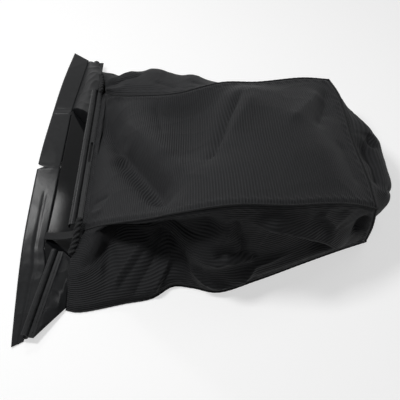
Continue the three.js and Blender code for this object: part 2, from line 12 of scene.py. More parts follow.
import bpy
import numpy as np
from bpy.props import FloatProperty, FloatVectorProperty, PointerProperty
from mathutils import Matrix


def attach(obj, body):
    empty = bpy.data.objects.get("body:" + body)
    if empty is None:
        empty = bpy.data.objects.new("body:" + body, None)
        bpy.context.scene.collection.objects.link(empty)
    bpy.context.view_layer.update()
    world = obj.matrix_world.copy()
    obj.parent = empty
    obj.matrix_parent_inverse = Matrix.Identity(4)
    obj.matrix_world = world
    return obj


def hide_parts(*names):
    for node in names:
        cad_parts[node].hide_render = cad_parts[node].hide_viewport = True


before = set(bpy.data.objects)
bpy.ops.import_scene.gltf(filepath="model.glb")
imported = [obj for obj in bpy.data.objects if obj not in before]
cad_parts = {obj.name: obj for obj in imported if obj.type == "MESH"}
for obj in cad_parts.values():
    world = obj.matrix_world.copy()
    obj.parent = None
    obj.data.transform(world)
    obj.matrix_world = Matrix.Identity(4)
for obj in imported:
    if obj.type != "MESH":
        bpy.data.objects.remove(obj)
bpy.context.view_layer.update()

bl_info = {
    "name": "Mower grass bag",
    "version": (1, 0, 0),
    "blender": (4, 5, 0),
    "location": "View3D > Sidebar > Grass Bag",
    "description": "Dresses the packed grass bag in ribbed fabric, vinyl and extruded bindings",
    "category": "Object",
}

MM = 0.001
BODY = "root"

# Camera and lamps, in metres: a lamp's name, place, target, size and power in watts
CAMERA_PLACE = (0.0, -0.960, 0.930)
CAMERA_TILT = math.radians(44.0)
CAMERA_LENS = 63.0
CAMERA_SENSOR = 36.0
LAMPS = (
    ("softbox_left", (-0.66, -0.22, 1.42), (0.0, 0.0, 0.05), (0.3, 0.3), 13.9),
    ("softbox_mouth", (-0.684, 0.952, 1.12), (-0.684, 0.952, 0.0), (0.231, 0.196), 4.6),
    ("softbox_back", (-0.78, 1.65, 1.2), (-0.3, 0.3, 0.0), (0.7, 0.9), 0.4),
    ("fill_right", (0.8, 0.2, 1.6), (0.0, 0.0, 0.05), (0.8, 0.8), 2.4),
)
STUDIO_AMBIENT = 0.08
GROUND_REACH = 6.0
GROUND_GLOW = 0.6

# Mouth, in the collapsed state that it takes without a frame
MOUTH_X = -190.0
MOUTH_NEAR_Y = -190.0
MOUTH_FAR_Y = 182.0
MOUTH_TOP_Z = 62.0
FOLD_X = -269.0
FOLD_NEAR_Y = -160.0
FOLD_FAR_Y = 200.0

# Vinyl lip
LIP_END_X = -289.0
LIP_NEAR_Y = -378.0
LIP_FAR_Y = 408.0
LIP_BOW = 24.0
LIP_FAR_SLANT = 30.0
LIP_NEAR_SLANT = 11.0
LIP_WALL = 2.2
LIP_LIFT = 1.2
LIP_WAVE = 38.0
NOTCH_Y = 24.0
NOTCH_HALF_WIDTH = 7.0
NOTCH_DEPTH = 13.0
FOLD_STEP_LEAD = 20.0
FOLD_STEP_RUN = 40.0
FOLD_STEP = 9.0
FOLD_DRIFT = 3.0
FOLD_GAP = 0.3

# Relief of the lip: fine ripples beside its near corner, a score line along it, and folds across it, each
# with its place, reach and height
LIP_RIPPLE_HEIGHT = 0.16
LIP_RIPPLE_LENGTH = 5.2
LIP_RIPPLE_Y = -200.0
LIP_RIPPLE_REACH = 45.0
LIP_FOLDS = ((190.0, 5.0, 1.1), (203.0, 6.0, -1.0), (NOTCH_Y + 3.0, 4.0, 0.8))
LIP_SCORE_SHARE = 0.55
LIP_SCORE_WIDTH = 0.05
LIP_SCORE_DEPTH = 0.9
LIP_SCORE_Y = -30.0
LIP_SCORE_RUN = 30.0
LIP_CRUMPLE_MM = 120.0
LIP_CRUMPLE_HEIGHT = 0.3
LIP_CLEARANCE = 0.15
VINYL_CRUMPLE_LEVEL = 0.4

# Vinyl floor, with an apron from the mouth's edge to the fold of the lip
FLOOR_SHEET_Z = 1.7
FLOOR_FRONT_GAP = 0.25
FLOOR_SHARES = (0.004, 0.98)
FLOOR_INSET = 4.0
FLOOR_MOUTH_GAP = 1.0
APRON_STEPS = 16
APRON_LIP_GAP = 0.05
APRON_HOLD = 0.55
FLOOR_FLAT_X = -225.0
FLOOR_FLAT_RUN = 60.0
FLOOR_CRUMPLE_MM = 90.0
FLOOR_CRUMPLE_HEIGHT = 0.4

# Cheeks, near binding and hems
NEAR_YAW = math.radians(7.6)
NEAR_BINDING_TOP = np.array([-247.0, -196.0, 13.8])
NEAR_BINDING_LENGTH = 172.0
NEAR_FLANGE_REACH = 15.6
NEAR_HEM_SHARE = 0.62
FAR_HEM_SHARE = 0.42
NEAR_CHEEK_SHARES = (0.03, 0.60)
CHEEK_LIFT = 0.8
CHEEK_BEHIND_MOUTH = 1.2
CHEEK_CRUMPLE_MM = 46.0
CHEEK_CRUMPLE_HEIGHT = 1.6
CHEEK_WAVE_HEIGHT = 0.8
FAR_CHEEK_POINTS = [(-223, 134, 46), (-213, 186, 46), (-209, 240, 47), (-213, 300, 33)]
FAR_CHEEK_TURN = 0.1
FAR_CHEEK_LEAD = 1.0
FAR_CHEEK_TAIL = 6.0
FAR_CHEEK_GAP = 0.1
FAR_CHEEK_ARCH = 8.0
FAR_CHEEK_FOOT_Z = 3.2
HEM_STATIONS = 150
HEM_SIDES = 28
HEM_TURNS = 7

# Header strip under the top binding, cut back under the hand slot
HEADER_PROFILE = np.array([
    (-206.2, 55.6), (-202.0, 55.7), (-198.6, 55.8), (-195.0, 58.6), (-191.0, 61.4), (-187.6, 62.6)])
HEADER_PUFF = np.array([0, 0, 0.2, 1.0, 1.0, 0.2])
HEADER_INSET = 0.5
HEADER_WALL = 0.9
SLOT_Y = 6.0
SLOT_HALF_WIDTH = 27.0
SLOT_BACK_X = -198.8

# Corner strap
STRAP_FOOT = np.array([-272.0, -153.0, 4.6])
STRAP_HEAD = np.array([-211.0, -190.0, 51.0])
STRAP_HALF_WIDTH = 8.0
STRAP_SAG = 3.0
STRAP_CROWN = 0.7
STRAP_WALL = 1.2

# Rows of thread
STITCH_RADIUS = 0.45
STITCH_SIDES = 6
STITCH_LIFT = 0.15
TOP_STITCH_X = -200.4
TOP_STITCH_Z = 58.0
TOP_STITCH_INSETS = (14.0, 2.0)
SLOT_STITCH_MARGIN = 3.0
NEAR_STITCH_REACH = 11.5
NEAR_STITCH_LIFT = 0.95
NEAR_STITCH_INSET = 3.0

# Seams of the body
FLOOR_SEAM_Z = 2.2
NEAR_TOP = [
    (MOUTH_X, MOUTH_NEAR_Y, MOUTH_TOP_Z), (-160, -209, 94), (-125, -228, 122), (-75, -251, 157),
    (-36, -264, 182), (50, -276, 213), (130, -268, 203), (200, -240, 178), (246, -217, 150), (281, -202, 125),
]
FAR_TOP = [
    (MOUTH_X, MOUTH_FAR_Y, MOUTH_TOP_Z), (-160, 147, 82), (-122, 123, 100), (-46, 97, 125),
    (41, 97, 150), (105, 98, 150), (193, 126, 139), (249, 147, 120),
]
NEAR_FLOOR = [
    (-215, -309), (-195, -313), (-120, -296), (-78, -286), (-44, -262), (-12, -265), (28, -274),
    (93, -250), (180, -211), (242, -184), (290, -165),
]
FAR_FLOOR = [(-215, 303), (-150, 266), (-80, 235), (0, 205), (90, 186), (180, 176), (262, 165)]
REAR_TOP = [(278, -140, 128), (267, -50, 130), (264, 42, 128), (260, 100, 124)]
REAR_FLOOR = [(290, -60), (282, 60)]
NEAR_MOUTH_BULGE = (-211, -240, 42)
FAR_MOUTH_BULGE = (-207, 258, 57)
NEAR_CORNER_BULGE = (288, -185, 62)
FAR_CORNER_BULGE = (272, 168, 62)

# Broad swells of each panel: from, to, width and height, in the plane that the panel is measured in
TOP_SWELLS = [
    ((-184, 100), (-150, 0), 20, -6),
    ((-135, -60), (-60, -205), 24, -12),
    ((-138, 90), (-66, -90), 24, 7),
    ((-20, 50), (5, -80), 58, -28),
    ((84, 80), (30, -95), 30, 9),
    ((110, 20), (190, -110), 75, 12),
    ((228, 40), (226, 14), 17, -6),
    ((-160, 150), (-60, 118), 15, 9),
]
NEAR_SWELLS = [
    ((-124, 92), (10, 152), 24, -27),
    ((-195, 40), (-150, 46), 14, -13),
    ((-134, 70), (-66, 80), 38, -50),
    ((-44, 78), (-22, 66), 24, -14),
    ((-130, 16), (-40, 16), 14, 5),
    ((0, 80), (60, 98), 20, 10),
    ((108, 160), (262, 34), 20, 11),
    ((60, 40), (220, 38), 19, 11),
    ((262, 96), (264, 70), 13, -9),
    ((228, 130), (238, 112), 15, 6),
    ((30, 134), (36, 140), 14, 8),
]
FAR_SWELLS = [
    ((-180, 44), (-110, 54), 43, 24),
    ((-66, 62), (-26, 72), 40, 25),
    ((-36, 78), (-10, 70), 20, 4),
    ((30, 65), (220, 60), 40, 14),
    ((-172, 70), (-166, 30), 15, -11),
    ((-36, 80), (-20, 20), 15, -3),
]
REAR_SWELLS = [
    ((-100, 66), (6, 80), 52, 47),
    ((60, 60), (90, 56), 38, 8),
    ((-60, 112), (-20, 104), 12, -9),
]

# Creases: a run of points, the width on the left and on the right of its way, and the height
TOP_CREASES = [
    ([(-186, 128), (-181, 78), (-168, 24), (-145, -28), (-114, -92), (-79, -162), (-52, -226), (-44, -250)],
     24, 14, -22),
    ([(-145, 55), (-110, -10), (-82, -59), (-56, -103), (-35, -149), (-15, -177)], 20, 22, 8),
    ([(76, 41), (59, 12), (44, -22), (32, -61), (19, -113), (8, -152)], 14, 11, -14),
    ([(99, 35), (78, -22), (60, -63), (39, -110), (22, -146)], 26, 18, 6),
    ([(218, 85), (195, 27), (166, -32), (142, -68)], 15, 15, 6),
    ([(233, 109), (232, 63), (222, 16), (197, -62)], 11, 13, -8),
    ([(234, -62), (244, -110), (251, -150), (254, -176)], 12, 14, -4),
    ([(-77, 88), (-81, 63), (-72, 15), (-63, -32)], 5, 6, -3),
    ([(-186, 150), (-150, 132)], 5, 6, 5),
    ([(-184, 168), (-158, 146)], 4, 5, -5),
    ([(-186, -160), (-160, -178)], 5, 7, 4),
    ([(-184, -140), (-150, -150)], 5, 8, -3),
]
NEAR_CREASES = [
    ([(-165, 86), (-140, 93), (-94, 102), (-46, 115), (10, 131)], 12, 9, -9),
    ([(-113, 82), (-78, 88), (-46, 95), (-24, 92)], 5, 8, 4),
    ([(49, 184), (57, 148), (66, 116), (78, 86)], 6, 10, -10),
    ([(20, 95), (43, 105), (70, 94), (84, 83)], 12, 7, -9),
    ([(12, 84), (43, 92), (72, 82), (90, 71)], 7, 9, 7),
    ([(76, 172), (110, 165), (151, 134), (197, 92), (240, 36)], 18, 8, 15),
    ([(82, 156), (115, 147), (150, 116), (190, 78), (226, 34)], 7, 20, -20),
    ([(177, 170), (193, 146), (216, 105)], 13, 7, 7),
    ([(163, 162), (181, 138), (201, 100)], 8, 12, -3),
    ([(259, 58), (262, 82), (264, 108)], 9, 9, -12),
    ([(-46, 97), (-15, 86), (-8, 44), (8, 29), (30, 20), (64, 30), (87, 60), (128, 64), (162, 62)], 7, 9, 8),
    ([(-35, 70), (-55, 38), (-71, 21), (-79, 7)], 8, 8, 6),
    ([(-79, 73), (-97, 62), (-120, 42), (-147, 18)], 9, 9, 7),
    ([(-58, 70), (-76, 48), (-95, 30), (-112, 8)], 8, 9, -6),
    ([(-196, 46), (-160, 50), (-138, 62)], 14, 10, -7),
    ([(-168, 84), (-145, 99), (-123, 95), (-119, 88)], 4, 5, 6),
    ([(-161, 86), (-143, 91), (-124, 90)], 4, 4, -7),
    ([(-28, 66), (-47, 36), (-62, 20), (-72, 6)], 4, 4, -3),
    ([(-70, 74), (-90, 58), (-112, 38), (-138, 16)], 4, 4, -3),
    ([(84, 92), (86, 76)], 4, 4, -4),
    ([(-200, 36), (-176, 44), (-150, 40)], 7, 8, 5),
]
FAR_CREASES = [
    ([(-193, 200), (-163, 196), (-137, 194), (-114, 199)], 4, 6, -6),
    ([(-196, 190), (-172, 172), (-146, 154)], 6, 6, 5),
    ([(-194, 212), (-160, 214), (-120, 211)], 7, 7, 3),
    ([(-90, 158), (-64, 138), (-40, 118)], 6, 8, -3),
    ([(-20, 150), (10, 126), (30, 108)], 6, 8, -3),
    ([(-196, 240), (-150, 236), (-100, 214)], 10, 10, -5),
]
REAR_CREASES = [
    ([(-20, 110), (-65, 108), (-96, 107), (-140, 108)], 8, 12, -15),
    ([(0, 112), (-14, 104), (-26, 94)], 5, 7, -6),
    ([(-120, 92), (-104, 60), (-98, 30)], 9, 10, -7),
    ([(10, 104), (30, 70), (20, 26)], 10, 9, -7),
    ([(90, 100), (70, 60), (80, 24)], 8, 9, 5),
]
SWELL_FADE = 0.17
CREASE_POWER = 1.35
CREASE_END_SHARE = 0.22
CREASE_END_HEIGHT = 0.15

# Small relief of the panels
CRUMPLE_MM = 120.0
CRUMPLE_LEVEL = 0.45
FINE_CRUMPLE_MM = 38.0
FINE_CRUMPLE_SHARE = 0.2
CREASE_FADE_MM = 7.0
SEAM_ROLL_MM = 6.0
SEAM_LIP_MM = 10.0
SEAM_LIP_REACH = 5.5
SEAM_LIP_HEIGHT = 1.1
PUCKER_PITCH = 17.0
PUCKER_MM = 12.0
PUCKER_REACH = 9.0
PUCKER_HEIGHT = 0.5
LOWEST_CLOTH_Z = 0.4

# Grid steps along and across each piece
TOP_STEPS = (230, 190)
NEAR_STEPS = (260, 100)
FAR_STEPS = (180, 70)
REAR_STEPS = (150, 80)
LIP_STEPS = (14, 420)
FLOOR_STEPS = (90, 110)
CHEEK_STEPS = (20, 90)
HEADER_STEPS = 260
STRAP_STEPS = (60, 17)
CORD_STEP = 2.4
CORD_SIDES = 8

# Taped seams
WELT_LOWEST_Z = 1.7
WELT_RADIUS = 1.25
WELT_STITCH_HEIGHT = 0.3
WELT_SINK = 0.75


# Numbers to curves and surfaces

def unit(vectors):
    """Each vector divided by its own length."""
    return vectors / np.maximum(np.linalg.norm(vectors, axis=-1, keepdims=True), 1e-12)


def smooth(t):
    """3t^2 - 2t^3 for t held between 0 and 1."""
    t = np.clip(t, 0.0, 1.0)
    return t * t * (3 - 2 * t)


def seam(points):
    """A centripetal Catmull-Rom curve through the points: each span is a cubic whose end slopes weigh the
    neighbouring chords by the square root of their lengths. Returns the place at a share of its length."""
    p = np.array([(*q, FLOOR_SEAM_Z)[:3] for q in points], float)
    p = np.vstack([2 * p[0] - p[1], p, 2 * p[-1] - p[-2]])
    a, b, c, d = p[:-3], p[1:-2], p[2:-1], p[3:]
    k0, k1, k2 = (np.sqrt(np.linalg.norm(y - x, axis=1, keepdims=True)) for x, y in ((a, b), (b, c), (c, d)))
    m1 = ((b - a) / k0 - (c - a) / (k0 + k1) + (c - b) / k1) * k1
    m2 = ((c - b) / k1 - (d - b) / (k1 + k2) + (d - c) / k2) * k1
    t = np.linspace(0, 1, 80, endpoint=False)[None, :, None]
    b, c, m1, m2 = (x[:, None] for x in (b, c, m1, m2))
    cubic = b + m1 * t + (3 * (c - b) - 2 * m1 - m2) * t**2 + (2 * (b - c) + m1 + m2) * t**3
    dense = np.vstack([cubic.reshape(-1, 3), p[-2]])
    run = np.concatenate([[0], np.cumsum(np.linalg.norm(np.diff(dense, axis=0), axis=1))])

    def at(share):
        share = np.clip(np.asarray(share, float), 0, 1) * run[-1]
        return np.stack([np.interp(share, run, dense[:, k]) for k in range(3)], axis=-1)

    at.length = run[-1]
    return at


def backwards(curve):
    """The same curve read from its other end."""
    return lambda share: curve(1 - np.asarray(share, float))


def coons(low, high, start, end, u, v):
    """The patch stretched between four edge curves: the two ruled surfaces added, less the bilinear one
    of the four corners."""
    a, b = u[:, None, None], v[None, :, None]
    lows, highs, starts, ends = low(u)[:, None], high(u)[:, None], start(v)[None], end(v)[None]
    ruled = lows * (1 - b) + highs * b + starts * (1 - a) + ends * a
    corners = (low(0) * (1 - a) + low(1) * a) * (1 - b) + (high(0) * (1 - a) + high(1) * a) * b
    return ruled - corners


def swells(folds, a, b):
    """The sum of height * exp(-(d / width)^2), d being the distance to the fold's straight line."""
    total = np.zeros_like(a)
    for (x0, y0), (x1, y1), width, height in folds:
        dx, dy = x1 - x0, y1 - y0
        t = np.clip(((a - x0) * dx + (b - y0) * dy) / (dx * dx + dy * dy), 0, 1)
        away = np.hypot(a - x0 - t * dx, b - y0 - t * dy)
        total += height * np.exp(-((away / width) ** 2))
    return total


def creases(folds, a, b):
    """The sum of height * taper * exp(-(d / width)^1.35), d being the distance to the crease's run of points,
    with another width on each side and a taper that rises from a low end to 1 over a fifth of the run."""
    total = np.zeros_like(a)
    for path, left, right, height in folds:
        p = np.array(path, float)
        spans = np.linalg.norm(np.diff(p, axis=0), axis=1)
        ends = np.concatenate([[0], np.cumsum(spans)])
        best = np.full(a.shape, 1e9)
        side = np.zeros(a.shape)
        share = np.zeros(a.shape)
        for k, span in enumerate(spans):
            dx, dy = (p[k + 1] - p[k]) / span
            t = np.clip((a - p[k, 0]) * dx + (b - p[k, 1]) * dy, 0, span)
            away = np.hypot(a - p[k, 0] - t * dx, b - p[k, 1] - t * dy)
            nearer = away < best
            best = np.where(nearer, away, best)
            side = np.where(nearer, dx * (b - p[k, 1]) - dy * (a - p[k, 0]), side)
            share = np.where(nearer, (ends[k] + t) / ends[-1], share)
        width = right + (left - right) * smooth(0.5 + side / (left + right))
        rise = smooth(share / CREASE_END_SHARE) * smooth((1 - share) / CREASE_END_SHARE)
        taper = CREASE_END_HEIGHT + (1 - CREASE_END_HEIGHT) * rise
        total += height * taper * np.exp(-((best / width) ** CREASE_POWER))
    return total


def crumple(a, b, seed, size, waves=16):
    """Creased noise between about 0 and 1: exp(-1.5 |s|) of a sum s of plane waves, each with its own
    direction, phase and length near size."""
    rng = np.random.default_rng(seed)
    total = np.zeros_like(a)
    for angle, phase, stretch in rng.uniform((0, 0, 0.65), (math.pi, 2 * math.pi, 1.5), (waves, 3)):
        k = 2 * math.pi / (size * stretch)
        total += np.sin(k * (math.cos(angle) * a + math.sin(angle) * b) + phase)
    return np.exp(-1.5 * np.abs(total) / math.sqrt(waves / 2))


def normals(grid):
    """The unit cross product of the slopes along and across a grid of points."""
    along = np.gradient(grid, axis=0)
    across = np.gradient(grid, axis=1)
    return unit(np.cross(along, across))


def cloth_lengths(grid):
    """The distance from the first edge, along each line of the grid, both ways."""
    along = np.linalg.norm(np.diff(grid, axis=0), axis=2)
    across = np.linalg.norm(np.diff(grid, axis=1), axis=2)
    return np.stack([
        np.concatenate([np.zeros((1, grid.shape[1])), np.cumsum(along, axis=0)]),
        np.concatenate([np.zeros((grid.shape[0], 1)), np.cumsum(across, axis=1)], axis=1),
    ], axis=-1)


def grid_faces(nu, nv, closed=False):
    """The quads of a grid of nu by nv points, joined round its second direction if it is closed."""
    i = np.arange(nu - 1)[:, None]
    j = np.arange(nv if closed else nv - 1)[None, :]
    k = (j + 1) % nv
    return np.stack([i * nv + j, (i + 1) * nv + j, (i + 1) * nv + k, i * nv + k], axis=-1).reshape(-1, 4)


# Curves that the panels share
near_top, far_top = seam(NEAR_TOP), seam(FAR_TOP)
near_floor, far_floor = seam(NEAR_FLOOR), seam(FAR_FLOOR)
rear_top = seam([NEAR_TOP[-1], *REAR_TOP, FAR_TOP[-1]])
rear_floor = seam([NEAR_FLOOR[-1], *REAR_FLOOR, FAR_FLOOR[-1]])
near_corner = seam([NEAR_FLOOR[-1], NEAR_CORNER_BULGE, NEAR_TOP[-1]])
far_corner = seam([FAR_FLOOR[-1], FAR_CORNER_BULGE, FAR_TOP[-1]])
mouth_top = seam([NEAR_TOP[0], FAR_TOP[0]])
mouth_near = seam([NEAR_FLOOR[0], NEAR_MOUTH_BULGE, NEAR_TOP[0]])
mouth_far = seam([FAR_TOP[0], FAR_MOUTH_BULGE, FAR_FLOOR[0]])

UP = np.array([0.0, 0.0, 1.0])
INTO_NEAR_TOP = np.array([0.0, 0.6, -0.8])
INTO_FAR_TOP = 0.6 * np.array([0.0, -0.6, -0.8])
INTO_REAR_TOP = 0.6 * np.array([-0.6, 0.0, -0.8])
INTO_NEAR_FLOOR = np.array([0.0, 0.4, 0.0])
INTO_FAR_FLOOR = np.array([0.0, -1.0, 0.0])
INTO_REAR_FLOOR = np.array([-1.0, 0.0, 0.0])
INTO_NEAR_CORNER = np.array([-0.7, 0.7, 0.0])
INTO_FAR_CORNER = np.array([-0.7, -0.7, 0.0])
NOWHERE = np.zeros(3)

# The body's panels: edges low, high, start and end; the two axes that its swells and its creases are measured
# in; the way out; the seams' ways in, in the order of the edges; and the cloth direction that its ribs cross
PLAN, SIDE, BACK = (0, 1), (0, 2), (1, 2)
Panel = namedtuple(
    "Panel", "name node edges swells plane out creases creases_plane steps into seed ribs_cross")
PANELS = (
    Panel("top_cloth", "top_panel", (near_top, far_top, mouth_top, rear_top),
          TOP_SWELLS, PLAN, (0, 0, 1), TOP_CREASES, PLAN, TOP_STEPS,
          (INTO_NEAR_TOP, INTO_FAR_TOP, NOWHERE, INTO_REAR_TOP), 11, "u"),
    Panel("near_side_cloth", "near_side_panel", (near_floor, near_top, mouth_near, near_corner),
          NEAR_SWELLS, SIDE, (0, -1, 0), NEAR_CREASES, SIDE, NEAR_STEPS,
          (INTO_NEAR_FLOOR, INTO_NEAR_TOP, NOWHERE, INTO_NEAR_CORNER), 23, "v"),
    Panel("far_side_cloth", "far_side_panel", (far_top, far_floor, mouth_far, backwards(far_corner)),
          FAR_SWELLS, SIDE, (0, 0.7, 0.7), FAR_CREASES, PLAN, FAR_STEPS,
          (INTO_FAR_TOP, INTO_FAR_FLOOR, NOWHERE, INTO_FAR_CORNER), 37, "v"),
    Panel("rear_cloth", "rear_panel", (rear_floor, rear_top, near_corner, far_corner),
          REAR_SWELLS, BACK, (1, 0, 0), REAR_CREASES, BACK, REAR_STEPS,
          (INTO_REAR_FLOOR, INTO_REAR_TOP, INTO_NEAR_CORNER, INTO_FAR_CORNER), 41, "v"),
)


# Meshes and pieces

def piece(name, points, faces, lengths, material, nodes=(), caps=()):
    """A mesh from points in millimetres, with its cloth lengths in metres as its UV map."""
    mesh = bpy.data.meshes.new(name)
    mesh.from_pydata((points * MM).tolist(), [], [*faces.tolist(), *caps])
    layer = mesh.uv_layers.new(name="cloth")
    corners = np.empty(len(mesh.loops), np.int32)
    mesh.loops.foreach_get("vertex_index", corners)
    layer.data.foreach_set("uv", (lengths * MM)[corners].ravel())
    mesh.shade_smooth()
    mesh.materials.append(material)
    obj = bpy.data.objects.new(name, mesh)
    bpy.context.scene.collection.objects.link(obj)
    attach(obj, BODY)
    if nodes:
        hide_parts(*nodes)
    return obj


def sheet_piece(name, grid, material, nodes, wall, lengths=None):
    """A sheet whose outer face is the grid, with its wall behind it."""
    lengths = cloth_lengths(grid) if lengths is None else lengths
    obj = piece(name, grid.reshape(-1, 3), grid_faces(*grid.shape[:2]), lengths.reshape(-1, 2),
                material, nodes)
    solid = obj.modifiers.new("wall", "SOLIDIFY")
    solid.thickness = wall * MM
    solid.offset = -1.0
    return obj


def tube_grid(path, radius, reference, sides):
    """A tube round a path: centre + radius * (cos a * side + sin a * rise), where side is square to the path
    and to the reference direction. The radius is an array that fits (stations, sides)."""
    ahead = unit(np.gradient(path, axis=0))
    side = unit(np.cross(ahead, reference))
    rise = np.cross(side, ahead)
    angle = np.linspace(0, 2 * math.pi, sides, endpoint=False)
    ring = np.cos(angle)[None, :, None] * side[:, None] + np.sin(angle)[None, :, None] * rise[:, None]
    return path[:, None] + ring * radius[..., None]


def tube_piece(name, path, radius, reference, material, nodes=(), sides=CORD_SIDES):
    """A closed tube along a path of points, with a flat cap on each end."""
    grid = tube_grid(path, np.broadcast_to(radius, (len(path), sides)), reference, sides)
    stations = len(path)
    run = np.concatenate([[0], np.cumsum(np.linalg.norm(np.diff(path, axis=0), axis=1))])
    around = np.linspace(0, 2 * math.pi, sides, endpoint=False) * float(np.mean(radius))
    lengths = np.stack(np.broadcast_arrays(run[:, None], around[None, :]), axis=-1)
    faces = grid_faces(stations, sides, closed=True)
    caps = [list(range(sides - 1, -1, -1)), list(range((stations - 1) * sides, stations * sides))]
    turn = np.cross(grid[0, 1] - grid[0, 0], grid[1, 0] - grid[0, 0]) @ (grid[0, 0] - path[0])
    if turn > 0:
        faces = faces[:, ::-1]
        caps = [cap[::-1] for cap in caps]
    return piece(name, grid.reshape(-1, 3), faces, lengths.reshape(-1, 2), material, nodes, caps)


# Materials

class Finish:
    """A material under way: its node tree, its main shader and short ways to add nodes."""

    def __init__(self, name):
        self.material = bpy.data.materials.new(name)
        self.material.use_nodes = True
        self.tree = self.material.node_tree
        self.shader = self.tree.nodes["Principled BSDF"]

    def add(self, kind, **settings):
        node = self.tree.nodes.new(kind)
        for key, value in settings.items():
            setattr(node, key, value)
        return node

    def link(self, source, target):
        self.tree.links.new(source, target)

    def math(self, operation, a, b=0.0, c=0.0):
        node = self.add("ShaderNodeMath", operation=operation)
        for socket, value in zip(node.inputs, (a, b, c)):
            if isinstance(value, (int, float)):
                socket.default_value = value
            else:
                self.link(value, socket)
        return node.outputs[0]

    def noise(self, vector, scale, detail=3.0, rough=0.5):
        node = self.add("ShaderNodeTexNoise")
        node.inputs["Scale"].default_value = scale
        node.inputs["Detail"].default_value = detail
        node.inputs["Roughness"].default_value = rough
        self.link(vector, node.inputs["Vector"])
        return node.outputs["Fac"]

    def ramp(self, value, low, high):
        """low + (high - low) * value"""
        return self.math("MULTIPLY_ADD", value, high - low, low)

    def tint(self, value, dark, light):
        node = self.add("ShaderNodeMix", data_type="RGBA")
        node.inputs["A"].default_value = (*dark, 1)
        node.inputs["B"].default_value = (*light, 1)
        self.link(value, node.inputs["Factor"])
        self.link(node.outputs["Result"], self.shader.inputs["Base Color"])

    def bump(self, height, distance, strength=1.0, after=None):
        node = self.add("ShaderNodeBump")
        node.inputs["Distance"].default_value = distance
        node.inputs["Strength"].default_value = strength
        self.link(height, node.inputs["Height"])
        if after is not None:
            self.link(after, node.inputs["Normal"])
        self.link(node.outputs["Normal"], self.shader.inputs["Normal"])
        return node.outputs["Normal"]

    def uniform(self, **values):
        for name, value in values.items():
            self.shader.inputs[name.replace("_", " ")].default_value = value


def shade(colour, factor):
    return tuple(c * factor for c in colour)


def ribbed_cloth(name, across, pitch, colour):
    """Black ribbed polyester: ribs square to one cloth direction, with painted shading that lightens the
    colour on each rib and darkens it between ribs, a fine weave, and a faint dusty change of tone."""
    f = Finish(name)
    cloth = f.add("ShaderNodeUVMap", uv_map="cloth").outputs["UV"]
    parts = f.add("ShaderNodeSeparateXYZ")
    f.link(cloth, parts.inputs[0])
    ribs_on, threads_on = parts.outputs[0], parts.outputs[1]
    if across == "v":
        ribs_on, threads_on = threads_on, ribs_on
    place = f.add("ShaderNodeTexCoord").outputs["Object"]
    drift = f.noise(place, 9.0, 2.0)
    wander = f.math("MULTIPLY_ADD", drift, 1.5, f.math("MULTIPLY", ribs_on, 2 * math.pi / pitch))
    rib = f.ramp(f.math("SINE", wander), 0.5, 1.0)
    threads = f.math("MULTIPLY", threads_on, 2 * math.pi / (0.34 * pitch))
    thread = f.ramp(f.math("SINE", threads), 0.5, 1.0)
    tone = f.noise(place, 22.0, 4.0, 0.6)
    fine = f.noise(place, 900.0, 2.0)
    specks = f.math("MULTIPLY_ADD", tone, 0.35, f.math("MULTIPLY", fine, 0.2))
    # Painted shading: the rib wave lightens the colour on the crests and darkens it in the troughs, in step
    # with the rib bump; the rest is random tone and dusty specks
    mix = f.math("MULTIPLY_ADD", rib, 0.55, specks)
    f.tint(mix, shade(colour, 0.45), shade(colour, 1.75))
    f.link(f.ramp(tone, 0.5, 0.68), f.shader.inputs["Roughness"])
    f.uniform(Sheen_Weight=0.01, Sheen_Roughness=0.4, Specular_IOR_Level=0.07)
    weave = f.bump(f.math("MULTIPLY_ADD", thread, 0.3, fine), 0.00012)
    f.bump(rib, 0.0007, 1.0, weave)
    return f.material


def coated_vinyl(name, colour, low, high, gloss, wave):
    """Glossy coated sheet: slow waves, small dents and scuffs that break the gloss."""
    f = Finish(name)
    place = f.add("ShaderNodeTexCoord").outputs["Object"]
    waves = f.noise(place, 11.0, 2.0)
    dents = f.noise(place, 60.0, 3.0, 0.55)
    grain = f.noise(place, 1400.0, 2.0)
    scuffs = f.noise(place, 140.0, 6.0, 0.72)
    f.tint(f.math("POWER", scuffs, 3.0), colour, shade(colour, 3.0))
    f.link(f.ramp(scuffs, low, high), f.shader.inputs["Roughness"])
    first = f.bump(waves, 0.003 * wave, 0.5)
    second = f.bump(dents, 0.0003 * wave, 0.5, first)
    f.bump(grain, 0.00003, 0.5, second)
    f.uniform(Specular_IOR_Level=gloss)
    return f.material


def extruded_plastic(name, colour, along):
    """Satin dark extrusion: die lines along its run, scuffed paler in places."""
    f = Finish(name)
    place = f.add("ShaderNodeTexCoord").outputs["Object"]
    stretch = f.add("ShaderNodeMapping")
    stretch.inputs["Rotation"].default_value = (0, 0, along)
    stretch.inputs["Scale"].default_value = (1.0, 0.02, 1.0)
    f.link(place, stretch.inputs["Vector"])
    lines = f.noise(stretch.outputs[0], 900.0, 3.0, 0.6)
    scuffs = f.noise(place, 75.0, 5.0, 0.7)
    worn = f.math("MULTIPLY_ADD", lines, 0.5, f.math("POWER", scuffs, 2.0))
    f.tint(worn, shade(colour, 0.6), shade(colour, 1.9))
    f.link(f.ramp(scuffs, 0.2, 0.36), f.shader.inputs["Roughness"])
    f.bump(lines, 0.0001, 0.8)
    f.uniform(Specular_IOR_Level=0.10)
    return f.material


